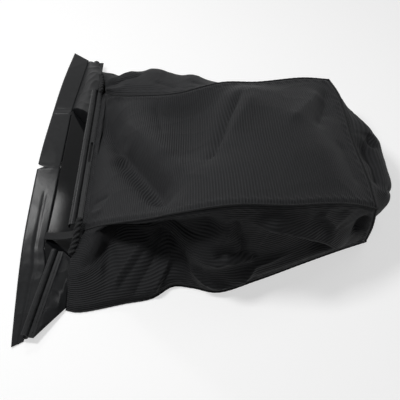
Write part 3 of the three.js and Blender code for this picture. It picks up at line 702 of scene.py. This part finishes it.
def woven_tape(name, colour, pitch):
    """Woven tape: a diagonal of two crossed waves on the cloth lengths, slightly furred."""
    f = Finish(name)
    cloth = f.add("ShaderNodeUVMap", uv_map="cloth").outputs["UV"]
    parts = f.add("ShaderNodeSeparateXYZ")
    f.link(cloth, parts.inputs[0])
    turn = 2 * math.pi / pitch
    first, second = (
        f.math("SINE", f.math("MULTIPLY", f.math(both, parts.outputs[0], parts.outputs[1]), turn))
        for both in ("ADD", "SUBTRACT"))
    weave = f.ramp(f.math("MULTIPLY", first, second), 0.5, 1.0)
    place = f.add("ShaderNodeTexCoord").outputs["Object"]
    fur = f.noise(place, 700.0, 3.0, 0.6)
    mix = f.math("MULTIPLY_ADD", weave, 0.5, f.math("MULTIPLY", fur, 0.4))
    f.tint(mix, shade(colour, 0.5), shade(colour, 1.7))
    f.link(f.ramp(fur, 0.6, 0.85), f.shader.inputs["Roughness"])
    f.uniform(Sheen_Weight=0.03, Sheen_Roughness=0.5, Specular_IOR_Level=0.12)
    f.bump(weave, 0.0004, 0.9)
    return f.material


# Sizes and colours that a user would change

class BagSizes(bpy.types.PropertyGroup):
    rib_pitch: FloatProperty(
        name="Rib pitch", description="Distance between two ribs of the fabric",
        default=0.0044, min=0.002, max=0.01, unit="LENGTH")
    fabric_wall: FloatProperty(
        name="Fabric wall", description="Thickness of the fabric in millimetres",
        default=1.1, min=0.4, max=1.6)
    vinyl_wall: FloatProperty(
        name="Vinyl wall", description="Thickness of the vinyl in millimetres",
        default=1.3, min=0.4, max=2.0)
    crumple_height: FloatProperty(
        name="Crumple height", description="Height of the small creases in millimetres",
        default=0.8, min=0.0, max=5.0)
    seam_roll: FloatProperty(
        name="Seam roll", description="Depth in millimetres to which the panels turn in at a seam",
        default=2.6, min=0.0, max=4.0)
    stitch_length: FloatProperty(
        name="Stitch length", description="Length of a stitch in millimetres",
        default=3.2, min=2.0, max=6.0)


class BagColours(bpy.types.PropertyGroup):
    fabric: FloatVectorProperty(
        name="Fabric", description="Colour of the ribbed fabric", subtype="COLOR",
        default=(0.0165, 0.0168, 0.0178))
    vinyl: FloatVectorProperty(
        name="Vinyl", description="Colour of the coated sheet", subtype="COLOR",
        default=(0.008, 0.0084, 0.0092))
    extrusion: FloatVectorProperty(
        name="Extrusion", description="Colour of the bindings", subtype="COLOR",
        default=(0.013, 0.0134, 0.0142))
    tape: FloatVectorProperty(
        name="Tape", description="Colour of the tapes and the thread", subtype="COLOR",
        default=(0.014, 0.0143, 0.015))
    floor: FloatVectorProperty(
        name="Floor", description="Colour of the floor under the bag", subtype="COLOR",
        default=(0.5, 0.5, 0.5))


def sizes():
    return bpy.context.scene.grass_bag_sizes


def colours():
    return bpy.context.scene.grass_bag_colours


def panel_grid(panel):
    """A panel of the body and its cloth lengths. The patch between the seams is raised by its swells, then by
    creases and crumples along its own normal. Beside each sewn edge it rises in a low lip and puckers, and it
    turns in by roll * exp(-(d / reach)^2), d being the distance to the seam, so that two panels meet at the
    bottom of one groove."""
    u, v = (np.linspace(0, 1, count + 1) for count in panel.steps)
    base = coons(*panel.edges, u, v)
    fade_u, fade_v = (smooth(np.minimum(t, 1 - t) / SWELL_FADE) for t in (u, v))
    a, b = panel.plane
    height = swells(panel.swells, base[..., a], base[..., b])
    base = base + (height * fade_u[:, None] * fade_v[None, :])[..., None] * np.array(panel.out, float)
    lengths = cloth_lengths(base)
    from_low, from_start = lengths[..., 1], lengths[..., 0]
    to_high, to_end = from_low[:, -1:] - from_low, from_start[-1:] - from_start
    a, b = panel.creases_plane
    detail = creases(panel.creases, base[..., a], base[..., b])
    rough = sizes().crumple_height
    detail += rough * (crumple(from_start, from_low, panel.seed, CRUMPLE_MM) - CRUMPLE_LEVEL)
    fine = crumple(from_start, from_low, panel.seed + 1, FINE_CRUMPLE_MM) - CRUMPLE_LEVEL
    detail += FINE_CRUMPLE_SHARE * rough * fine
    hold = np.ones_like(detail)
    wave = np.sin(2 * math.pi * (from_start + from_low) / PUCKER_PITCH)
    beside = tuple(zip((from_low, to_high, from_start, to_end), panel.into))
    for away, inward in beside:
        sewn = float(np.abs(inward).sum() > 0)
        hold *= 1 - sewn * np.exp(-((away / CREASE_FADE_MM) ** 2))
        pucker = PUCKER_HEIGHT * wave * np.exp(-(((away - PUCKER_MM) / PUCKER_REACH) ** 2))
        lip = SEAM_LIP_HEIGHT * np.exp(-(((away - SEAM_LIP_MM) / SEAM_LIP_REACH) ** 2))
        detail += sewn * (lip + pucker)
    out = base + normals(base) * (detail * hold)[..., None]
    for away, inward in beside:
        out += (sizes().seam_roll * np.exp(-((away / SEAM_ROLL_MM) ** 2)))[..., None] * inward
    out[..., 2] = np.maximum(out[..., 2], LOWEST_CLOTH_Z)
    along, across = lengths[-1, :, 0].mean(), lengths[:, -1, 1].mean()
    ribs = np.stack(np.broadcast_arrays(u[:, None] * along, v[None] * across), axis=-1)
    return out, ribs


class GRASSBAG_OT_stage(bpy.types.Operator):
    """Makes the pale floor, the soft lights and the camera of the photograph"""
    bl_idname = "grass_bag.stage"
    bl_label = "Stage"

    def execute(self, context):
        scene = context.scene
        data = bpy.data.cameras.new("camera")
        data.lens = CAMERA_LENS
        data.sensor_width = CAMERA_SENSOR
        camera = bpy.data.objects.new("camera", data)
        camera.location = CAMERA_PLACE
        camera.rotation_euler = (CAMERA_TILT, 0.0, 0.0)
        scene.collection.objects.link(camera)
        scene.camera = camera
        scene.view_settings.view_transform = "Standard"

        f = Finish("pale_floor")
        seen = f.add("ShaderNodeLightPath")
        shown = f.math("MAXIMUM", seen.outputs["Is Camera Ray"], seen.outputs["Is Glossy Ray"])
        shown = f.math("MAXIMUM", shown, seen.outputs["Is Transmission Ray"])
        f.uniform(Base_Color=(*colours().floor, 1), Roughness=0.9, Specular_IOR_Level=0.1,
                  Emission_Color=(1, 1, 1, 1))
        f.link(f.math("MULTIPLY", shown, GROUND_GLOW), f.shader.inputs["Emission Strength"])
        mesh = bpy.data.meshes.new("floor")
        corners = ((-1, -1), (1, -1), (1, 1), (-1, 1))
        mesh.from_pydata([(x * GROUND_REACH, y * GROUND_REACH, 0) for x, y in corners], [], [(0, 1, 2, 3)])
        mesh.materials.append(f.material)
        floor = bpy.data.objects.new("floor", mesh)
        scene.collection.objects.link(floor)

        world = bpy.data.worlds.new("studio")
        scene.world = world
        world.use_nodes = True
        tree = world.node_tree
        background = tree.nodes["Background"]
        path = tree.nodes.new("ShaderNodeLightPath")
        either = tree.nodes.new("ShaderNodeMath")
        either.operation = "MAXIMUM"
        tree.links.new(path.outputs["Is Camera Ray"], either.inputs[0])
        tree.links.new(path.outputs["Is Glossy Ray"], either.inputs[1])
        third = tree.nodes.new("ShaderNodeMath")
        third.operation = "MAXIMUM"
        tree.links.new(either.outputs[0], third.inputs[0])
        tree.links.new(path.outputs["Is Transmission Ray"], third.inputs[1])
        level = tree.nodes.new("ShaderNodeMath")
        level.operation = "MULTIPLY_ADD"
        tree.links.new(third.outputs[0], level.inputs[0])
        level.inputs[1].default_value = 1 - STUDIO_AMBIENT
        level.inputs[2].default_value = STUDIO_AMBIENT
        tree.links.new(level.outputs[0], background.inputs["Strength"])
        background.inputs["Color"].default_value = (1, 1, 1, 1)

        for name, place, target, size, power in LAMPS:
            light = bpy.data.lights.new(name, "AREA")
            light.shape = "RECTANGLE"
            light.size, light.size_y = size
            light.energy = power
            lamp = bpy.data.objects.new(name, light)
            lamp.location = place
            aim = unit(np.array(target) - np.array(place))
            flat = math.hypot(aim[0], aim[1])
            lamp.rotation_euler = (math.atan2(flat, -aim[2]), 0.0, math.atan2(aim[0], -aim[1]) + math.pi)
            scene.collection.objects.link(lamp)
        return {"FINISHED"}


class GRASSBAG_OT_fabric(bpy.types.Operator):
    """Makes the four fabric panels of the body"""
    bl_idname = "grass_bag.fabric"
    bl_label = "Fabric panels"

    def execute(self, context):
        pitch, colour = sizes().rib_pitch, colours().fabric
        cloths = {"u": ribbed_cloth("ribs_across", "u", pitch, colour),
                  "v": ribbed_cloth("ribs_along", "v", pitch, colour)}
        for panel in PANELS:
            grid, lengths = panel_grid(panel)
            obj = sheet_piece(panel.name, grid, cloths[panel.ribs_cross], (panel.node,),
                              sizes().fabric_wall, lengths)
        return {"FINISHED"}


class GRASSBAG_OT_seams(bpy.types.Operator):
    """Makes the taped seams between the panels"""
    bl_idname = "grass_bag.seams"
    bl_label = "Seams"

    def execute(self, context):
        tape = woven_tape("seam_tape", colours().tape, 0.0022)
        seams = (
            ("near_top_seam", "near_top_welt", near_top, INTO_NEAR_TOP),
            ("far_top_seam", "far_top_welt", far_top, INTO_FAR_TOP),
            ("rear_top_seam", "rear_top_welt", rear_top, INTO_REAR_TOP),
            ("near_floor_seam", "near_floor_welt", near_floor, INTO_NEAR_FLOOR),
            ("far_floor_seam", "far_floor_welt", far_floor, INTO_FAR_FLOOR),
            ("rear_floor_seam", "rear_floor_welt", rear_floor, INTO_REAR_FLOOR),
            ("near_corner_seam", "near_corner_welt", near_corner, INTO_NEAR_CORNER),
            ("far_corner_seam", "far_corner_welt", far_corner, INTO_FAR_CORNER),
        )
        for name, node, curve, into in seams:
            share = np.linspace(0, 1, int(curve.length / CORD_STEP))
            path = curve(share) + WELT_SINK * sizes().seam_roll * into
            path[:, 2] = np.maximum(path[:, 2], WELT_LOWEST_Z)
            stitch = np.abs(np.sin(math.pi * share * curve.length / sizes().stitch_length))
            radius = (WELT_RADIUS + WELT_STITCH_HEIGHT * stitch)[:, None]
            reference = np.array([1.0, 0.2, 0.0]) if "corner" in name else UP
            tube_piece(name, path, radius, reference, tape, (node,))
        return {"FINISHED"}


def lip_surface(u, y):
    """The lip between its outer edge (u = 0) and its fold (u = 1) at each y. The edge bows out and is notched
    at its middle; the fold steps in beyond the near corner. The sheet lifts in slow waves from the ground."""
    t = (y - LIP_NEAR_Y) / (LIP_FAR_Y - LIP_NEAR_Y)
    notch = NOTCH_DEPTH * np.clip(1 - np.abs(y - NOTCH_Y) / NOTCH_HALF_WIDTH, 0, 1)
    edge = LIP_END_X - LIP_BOW * (1 - (2 * t - 1) ** 2) + notch
    beyond_near = np.maximum(0, FOLD_NEAR_Y - FOLD_STEP_LEAD - y) / FOLD_STEP_RUN
    beyond_far = np.maximum(0, y - FOLD_FAR_Y) / FOLD_STEP_RUN
    fold = FOLD_X - FOLD_GAP + FOLD_STEP * np.minimum(1, beyond_near)
    fold = fold + FOLD_DRIFT * (beyond_far - np.maximum(0, beyond_near - 1))
    far_share = np.maximum(0, (y - FOLD_FAR_Y) / (LIP_FAR_Y - FOLD_FAR_Y))
    near_share = np.maximum(0, (FOLD_NEAR_Y - y) / (FOLD_NEAR_Y - LIP_NEAR_Y))
    lift = LIP_LIFT * (1 - u) * (1 + np.sin(y / LIP_WAVE))
    return np.stack(np.broadcast_arrays(
        edge * (1 - u) + fold * u,
        y - u * (LIP_FAR_SLANT * far_share - LIP_NEAR_SLANT * near_share),
        LIP_WALL + lift), axis=-1)


def lip_grid(wall):
    """The lip with its relief: ripples height * sin(y / length) within a reach, crumple, folds
    height * exp(-|y - y0| / reach) and a score line, all fading towards its long edges."""
    u = np.linspace(0, 1, LIP_STEPS[0] + 1)[:, None]
    y = np.linspace(LIP_NEAR_Y, LIP_FAR_Y, LIP_STEPS[1] + 1)[None, :]
    grid = lip_surface(u, y)
    within = np.exp(-(((y - LIP_RIPPLE_Y) / LIP_RIPPLE_REACH) ** 2))
    relief = LIP_RIPPLE_HEIGHT * np.sin(y / LIP_RIPPLE_LENGTH) * within * u
    rough = crumple(grid[..., 0], grid[..., 1], 61, LIP_CRUMPLE_MM) - VINYL_CRUMPLE_LEVEL
    relief += LIP_CRUMPLE_HEIGHT * rough
    for place, reach, height in LIP_FOLDS:
        relief += height * np.exp(-np.abs(y - place) / reach)
    score = np.exp(-(((u - LIP_SCORE_SHARE) / LIP_SCORE_WIDTH) ** 2))
    relief -= LIP_SCORE_DEPTH * score * smooth((LIP_SCORE_Y - y) / LIP_SCORE_RUN)
    grid[..., 2] += relief * smooth(np.minimum(u, 1 - u) / 0.12 + 0.25)
    grid[..., 2] = np.maximum(grid[..., 2], wall + LIP_CLEARANCE)
    return grid


def floor_grid():
    """The floor, ruled between the two side seams and drawn out in front of the mouth to the fold of the lip.
    It is flat at the mouth and faintly crumpled behind it."""
    v = np.linspace(0, 1, FLOOR_STEPS[0] + 1)
    share = np.linspace(*FLOOR_SHARES, FLOOR_STEPS[1] + 1)
    front = np.stack([np.full_like(v, FOLD_X - FLOOR_FRONT_GAP),
                      FOLD_NEAR_Y + v * (FOLD_FAR_Y - FOLD_NEAR_Y),
                      np.full_like(v, FLOOR_SHEET_Z)], axis=-1)
    near_side = near_floor(share) + np.array([FLOOR_MOUTH_GAP, FLOOR_INSET, 0.0])
    far_side = far_floor(share) + np.array([FLOOR_MOUTH_GAP, -FLOOR_INSET, 0.0])
    ruled = near_side[:, None] * (1 - v[None, :, None]) + far_side[:, None] * v[None, :, None]
    back = np.linspace(0, 1, APRON_STEPS, endpoint=False)
    apron = front[None] * (1 - back[:, None, None]) + ruled[:1] * back[:, None, None]
    beside_lip = lip_surface(np.ones(APRON_STEPS), apron[:, 0, 1])[:, 0] + APRON_LIP_GAP - apron[:, 0, 0]
    beside_lip *= 1 - smooth((back - APRON_HOLD) / (1 - APRON_HOLD))
    apron[..., 0] += beside_lip[:, None] * (1 - v[None]) ** 6
    grid = np.concatenate([apron, ruled])
    behind = smooth((grid[..., 0] - FLOOR_FLAT_X) / FLOOR_FLAT_RUN)
    rough = crumple(grid[..., 0], grid[..., 1], 71, FLOOR_CRUMPLE_MM) - VINYL_CRUMPLE_LEVEL
    grid[..., 2] = FLOOR_SHEET_Z + FLOOR_CRUMPLE_HEIGHT * behind * rough
    return grid


def near_binding_point(along, across, lift):
    """A point beside the near binding: along it from its near end, across it towards the bag, and up."""
    run = np.array([math.sin(NEAR_YAW), math.cos(NEAR_YAW), 0.0])
    aside = np.array([math.cos(NEAR_YAW), -math.sin(NEAR_YAW), 0.0])
    foot = NEAR_BINDING_TOP - NEAR_BINDING_LENGTH * run
    return foot + run * np.asarray(along)[..., None] + aside * across + UP * lift


def near_cheek(u, v):
    """Ruled between the flange of the near binding and the near edge of the mouth."""
    left = near_binding_point(NEAR_BINDING_LENGTH * v[0], NEAR_FLANGE_REACH, CHEEK_LIFT)
    low, high = NEAR_CHEEK_SHARES
    right = mouth_near(low + (high - low) * v[0]) + np.array([CHEEK_BEHIND_MOUTH, 0.0, 0.0])
    return left[None] * (1 - u[..., None]) + right[None] * u[..., None]


def far_cheek(u, v):
    """Ruled between the fold of the lip and the far edge of the mouth, and arched over the far binding. Its
    first tenth turns down to the floor."""
    hang = 1 - smooth(v[0] / FAR_CHEEK_TURN)
    share = np.clip((v[0] - FAR_CHEEK_TURN) / (1 - FAR_CHEEK_TURN), 0, 1)
    upper = seam(FAR_CHEEK_POINTS)(share)
    length = LIP_FAR_Y - FOLD_FAR_Y - FAR_CHEEK_TAIL
    lower = lip_surface(np.ones(1), FOLD_FAR_Y + FAR_CHEEK_LEAD + length * share)
    lower = lower + np.array([FAR_CHEEK_GAP, 0.0, 0.0])
    arch = FAR_CHEEK_ARCH * 4 * u * (1 - u)
    sheet = lower[None] * (1 - u[..., None]) + upper[None] * u[..., None] + arch[..., None] * UP
    sheet[..., 2] += hang[None] * (FAR_CHEEK_FOOT_Z - sheet[..., 2])
    return sheet


def cheek_grid(patch):
    """A cheek with crumple and one slow wave along its own normal, fading towards its edges."""
    u = np.linspace(0, 1, CHEEK_STEPS[0] + 1)[:, None]
    v = np.linspace(0, 1, CHEEK_STEPS[1] + 1)[None, :]
    grid = patch(u, v)
    rough = crumple(grid[..., 0], grid[..., 1], 83, CHEEK_CRUMPLE_MM) - VINYL_CRUMPLE_LEVEL
    rise = CHEEK_CRUMPLE_HEIGHT * rough
    rise += CHEEK_WAVE_HEIGHT * np.sin(9 * v + 4 * u)
    hold = smooth(np.minimum(u, 1 - u) / 0.2) * smooth(np.minimum(v, 1 - v) / 0.08)
    return grid + normals(grid) * (rise * hold)[..., None]


class GRASSBAG_OT_vinyl(bpy.types.Operator):
    """Makes the lip of glossy vinyl, and the floor and the two cheeks of darker copies of that vinyl, which
    paint shade
    """
    bl_idname = "grass_bag.vinyl"
    bl_label = "Vinyl"

    def execute(self, context):
        wall, colour = sizes().vinyl_wall, colours().vinyl
        glossy = coated_vinyl("glossy_vinyl", colour, 0.15, 0.27, 0.115, 0.35)
        # Painted shade: the floor is the same vinyl at half its colour, so the inside of the mouth reads as
        # shaded; its smoother, less glossy finish is its own
        floor_with_painted_shade = coated_vinyl("painted_shade_floor", shade(colour, 0.5), 0.04, 0.10, 0.06, 0.012)
        # The cheeks are partly real and partly painted shade: the rougher, less glossy finish is their own,
        # and the same vinyl at 0.7 of its colour is painted shade
        matte_cheeks_with_painted_shade = coated_vinyl("painted_shade_cheeks", shade(colour, 0.7), 0.3, 0.5, 0.08, 0.8)

        lip = sheet_piece("lip_sheet", lip_grid(wall), glossy, ("mouth_lip",), wall)

        grid = floor_grid()
        floor = sheet_piece("floor_cloth", grid, floor_with_painted_shade, ("floor_panel",), wall)

        for name, node, patch in (("near_cheek_sheet", "near_cheek", near_cheek),
                                  ("far_cheek_sheet", "far_cheek", far_cheek)):
            grid = cheek_grid(patch)
            obj = sheet_piece(name, grid, matte_cheeks_with_painted_shade, (node,), wall)
        return {"FINISHED"}


class GRASSBAG_OT_bindings(bpy.types.Operator):
    """Finishes the three extruded bindings and makes the header under the top one"""
    bl_idname = "grass_bag.bindings"
    bl_label = "Bindings"

    def execute(self, context):
        colour = colours().extrusion
        straight = extruded_plastic("extrusion", colour, 0.0)
        yawed = extruded_plastic("extrusion_near", colour, NEAR_YAW)
        for node, material in (("top_binding", straight), ("far_binding", straight), ("near_binding", yawed)):
            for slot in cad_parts[node].material_slots:
                slot.material = material
        cloth = ribbed_cloth("header_ribs", "v", sizes().rib_pitch, colours().fabric)
        y = np.linspace(MOUTH_NEAR_Y + HEADER_INSET, MOUTH_FAR_Y - HEADER_INSET, HEADER_STEPS)
        x, z = HEADER_PROFILE[:, :1], HEADER_PROFILE[:, 1:]
        grid = np.stack(np.broadcast_arrays(x, y[None], z), axis=-1).copy()
        under_slot = np.abs(y - SLOT_Y) < SLOT_HALF_WIDTH
        grid[..., 0] = np.where(under_slot[None], np.maximum(grid[..., 0], SLOT_BACK_X), grid[..., 0])
        grid[..., 2] += HEADER_PUFF[:, None] * (0.8 * np.sin(y / 11.0) + 0.5 * np.sin(y / 4.7 + 1))[None]
        header = sheet_piece("header_strip", grid, cloth, ("top_header",), HEADER_WALL)
        return {"FINISHED"}


def near_hem_points():
    """From the top of the near cheek up the edge of the mouth and in over the end of the top binding."""
    low = mouth_near(NEAR_HEM_SHARE + 0.03) - np.array([3.5, 0.0, 0.0])
    middle = mouth_near((NEAR_HEM_SHARE + 1) / 2) + np.array([-4.5, 0.0, 2.0])
    return [low, middle, np.array([-201.0, -190.0, 70.5]), np.array([-198.0, -174.0, 73.0])]


def far_hem_points():
    """From over the end of the top binding out and down the far edge of the mouth."""
    middle = mouth_far(FAR_HEM_SHARE / 2) + np.array([-4.0, 0.0, 2.0])
    low = mouth_far(FAR_HEM_SHARE) - np.array([3.0, 0.0, 0.0])
    return [np.array([-199.0, 170.0, 71.0]), np.array([-200.0, 184.0, 70.0]), middle, low]


def hem_radius(share, full, phase):
    """The radius round a gathered hem: three deep pleats that wind round it, seven shallow ones that wind the
    other way, and both ends drawn in to half."""
    angle = np.linspace(0, 2 * math.pi, HEM_SIDES, endpoint=False)[None]
    twist = 2 * math.pi * HEM_TURNS * share[:, None]
    pleats = 0.80 + 0.18 * np.cos(3 * angle + twist) + 0.06 * np.cos(7 * angle - 2 * twist + phase)
    close = 0.5 + 0.5 * smooth(np.minimum(share, 1 - share) / 0.05)[:, None]
    return full * pleats * close


class GRASSBAG_OT_hems(bpy.types.Operator):
    """Makes the two gathered hems and the corner strap"""
    bl_idname = "grass_bag.hems"
    bl_label = "Hems and strap"

    def execute(self, context):
        tape = woven_tape("hem_tape", shade(colours().tape, 1.15), 0.0026)
        hems = (
            ("near_hem", "near_gathered_hem", near_hem_points(), 6.4, 3),
            ("far_hem", "far_gathered_hem", far_hem_points(), 5.0, 5),
        )
        share = np.linspace(0, 1, HEM_STATIONS)
        for name, node, points, full, phase in hems:
            radius = hem_radius(share, full, phase)
            tube_piece(name, seam(points)(share), radius, UP, tape, (node,), sides=HEM_SIDES)

        webbing = woven_tape("strap_tape", colours().tape, 0.0024)
        u = np.linspace(0, 1, STRAP_STEPS[0])[:, None]
        v = np.linspace(-1, 1, STRAP_STEPS[1])[None]
        middle = STRAP_FOOT * (1 - u[..., None]) + STRAP_HEAD * u[..., None]
        sag = STRAP_CROWN * (1 - v**2) * np.sin(5 * u) - STRAP_SAG * 4 * u * (1 - u)
        grid = middle + np.stack(np.broadcast_arrays(0 * v, STRAP_HALF_WIDTH * v, sag), axis=-1)
        strap = sheet_piece("corner_strap", grid, webbing, ("near_corner_strap",), STRAP_WALL)
        return {"FINISHED"}


def stitch_row(name, path, up, pitch, material):
    """A row of stitches: each is a short six-sided spindle lying along the path, thickest at its middle and
    drawn in to a quarter of that at its ends."""
    run = np.concatenate([[0], np.cumsum(np.linalg.norm(np.diff(path, axis=0), axis=1))])
    count = max(2, int(run[-1] / pitch))
    at = (np.arange(count) + 0.5) / count * run[-1]
    centre = np.stack([np.interp(at, run, path[:, k]) for k in range(3)], axis=-1)
    ahead = unit(np.stack([np.interp(at + 0.5, run, path[:, k]) for k in range(3)], axis=-1) - centre + 1e-9)
    side = unit(np.cross(ahead, up))
    rise = np.cross(side, ahead)
    along = 0.4 * pitch * np.array([-1.0, -0.7, 0.0, 0.7, 1.0])
    radius = STITCH_RADIUS * np.array([0.25, 0.75, 1.0, 0.75, 0.25])
    angle = np.linspace(0, 2 * math.pi, STITCH_SIDES, endpoint=False)[:, None]
    ring = np.cos(angle) * side[:, None, None] + np.sin(angle) * rise[:, None, None]
    points = centre[:, None, None] + ahead[:, None, None] * along[None, :, None, None]
    points = points + ring * radius[None, :, None, None] + up * STITCH_LIFT
    stations = len(along)
    each = stations * STITCH_SIDES
    one = grid_faces(stations, STITCH_SIDES, closed=True)[:, ::-1]
    faces = (one[None] + (np.arange(count) * each)[:, None, None]).reshape(-1, 4)
    caps = [[k * each + j for j in range(STITCH_SIDES)] for k in range(count)]
    caps += [[(k + 1) * each - 1 - j for j in range(STITCH_SIDES)] for k in range(count)]
    flat = points.reshape(-1, 3)
    return piece(name, flat, faces, flat[:, :2], material, (), caps)


class GRASSBAG_OT_stitching(bpy.types.Operator):
    """Makes the rows of thread along the top and near bindings"""
    bl_idname = "grass_bag.stitching"
    bl_label = "Stitching"

    def execute(self, context):
        thread = woven_tape("thread", shade(colours().tape, 1.6), 0.0009)
        pitch = sizes().stitch_length * 1.25
        y = np.linspace(MOUTH_NEAR_Y + TOP_STITCH_INSETS[0], MOUTH_FAR_Y - TOP_STITCH_INSETS[1], 200)
        top = np.stack([np.full_like(y, TOP_STITCH_X), y, np.full_like(y, TOP_STITCH_Z)], axis=-1)
        clear = SLOT_HALF_WIDTH + SLOT_STITCH_MARGIN
        stitch_row("top_stitches_near", top[y <= SLOT_Y - clear], UP, pitch, thread)
        stitch_row("top_stitches_far", top[y >= SLOT_Y + clear], UP, pitch, thread)
        along = np.linspace(NEAR_STITCH_INSET, NEAR_BINDING_LENGTH - NEAR_STITCH_INSET, 120)
        near = near_binding_point(along, NEAR_STITCH_REACH, NEAR_STITCH_LIFT)
        stitch_row("near_stitches", near, UP, pitch, thread)
        return {"FINISHED"}


STEPS = (GRASSBAG_OT_stage, GRASSBAG_OT_fabric, GRASSBAG_OT_seams, GRASSBAG_OT_vinyl, GRASSBAG_OT_bindings,
         GRASSBAG_OT_hems, GRASSBAG_OT_stitching)


class GRASSBAG_PT_panel(bpy.types.Panel):
    """Lists the sizes, the colours and the steps of the grass bag"""
    bl_label = "Grass Bag"
    bl_idname = "GRASSBAG_PT_panel"
    bl_space_type = "VIEW_3D"
    bl_region_type = "UI"
    bl_category = "Grass Bag"

    def draw(self, context):
        for group in (context.scene.grass_bag_sizes, context.scene.grass_bag_colours):
            for name in group.__annotations__:
                self.layout.prop(group, name)
        for step in STEPS:
            self.layout.operator(step.bl_idname)


CLASSES = (BagSizes, BagColours, *STEPS, GRASSBAG_PT_panel)


def register():
    for cls in CLASSES:
        bpy.utils.register_class(cls)
    bpy.types.Scene.grass_bag_sizes = PointerProperty(type=BagSizes)
    bpy.types.Scene.grass_bag_colours = PointerProperty(type=BagColours)


def unregister():
    del bpy.types.Scene.grass_bag_colours
    del bpy.types.Scene.grass_bag_sizes
    for cls in reversed(CLASSES):
        bpy.utils.unregister_class(cls)


def main():
    register()
    bpy.ops.grass_bag.stage()
    bpy.ops.grass_bag.fabric()
    bpy.ops.grass_bag.seams()
    bpy.ops.grass_bag.vinyl()
    bpy.ops.grass_bag.bindings()
    bpy.ops.grass_bag.hems()
    bpy.ops.grass_bag.stitching()


if __name__ == "__main__":
    main()
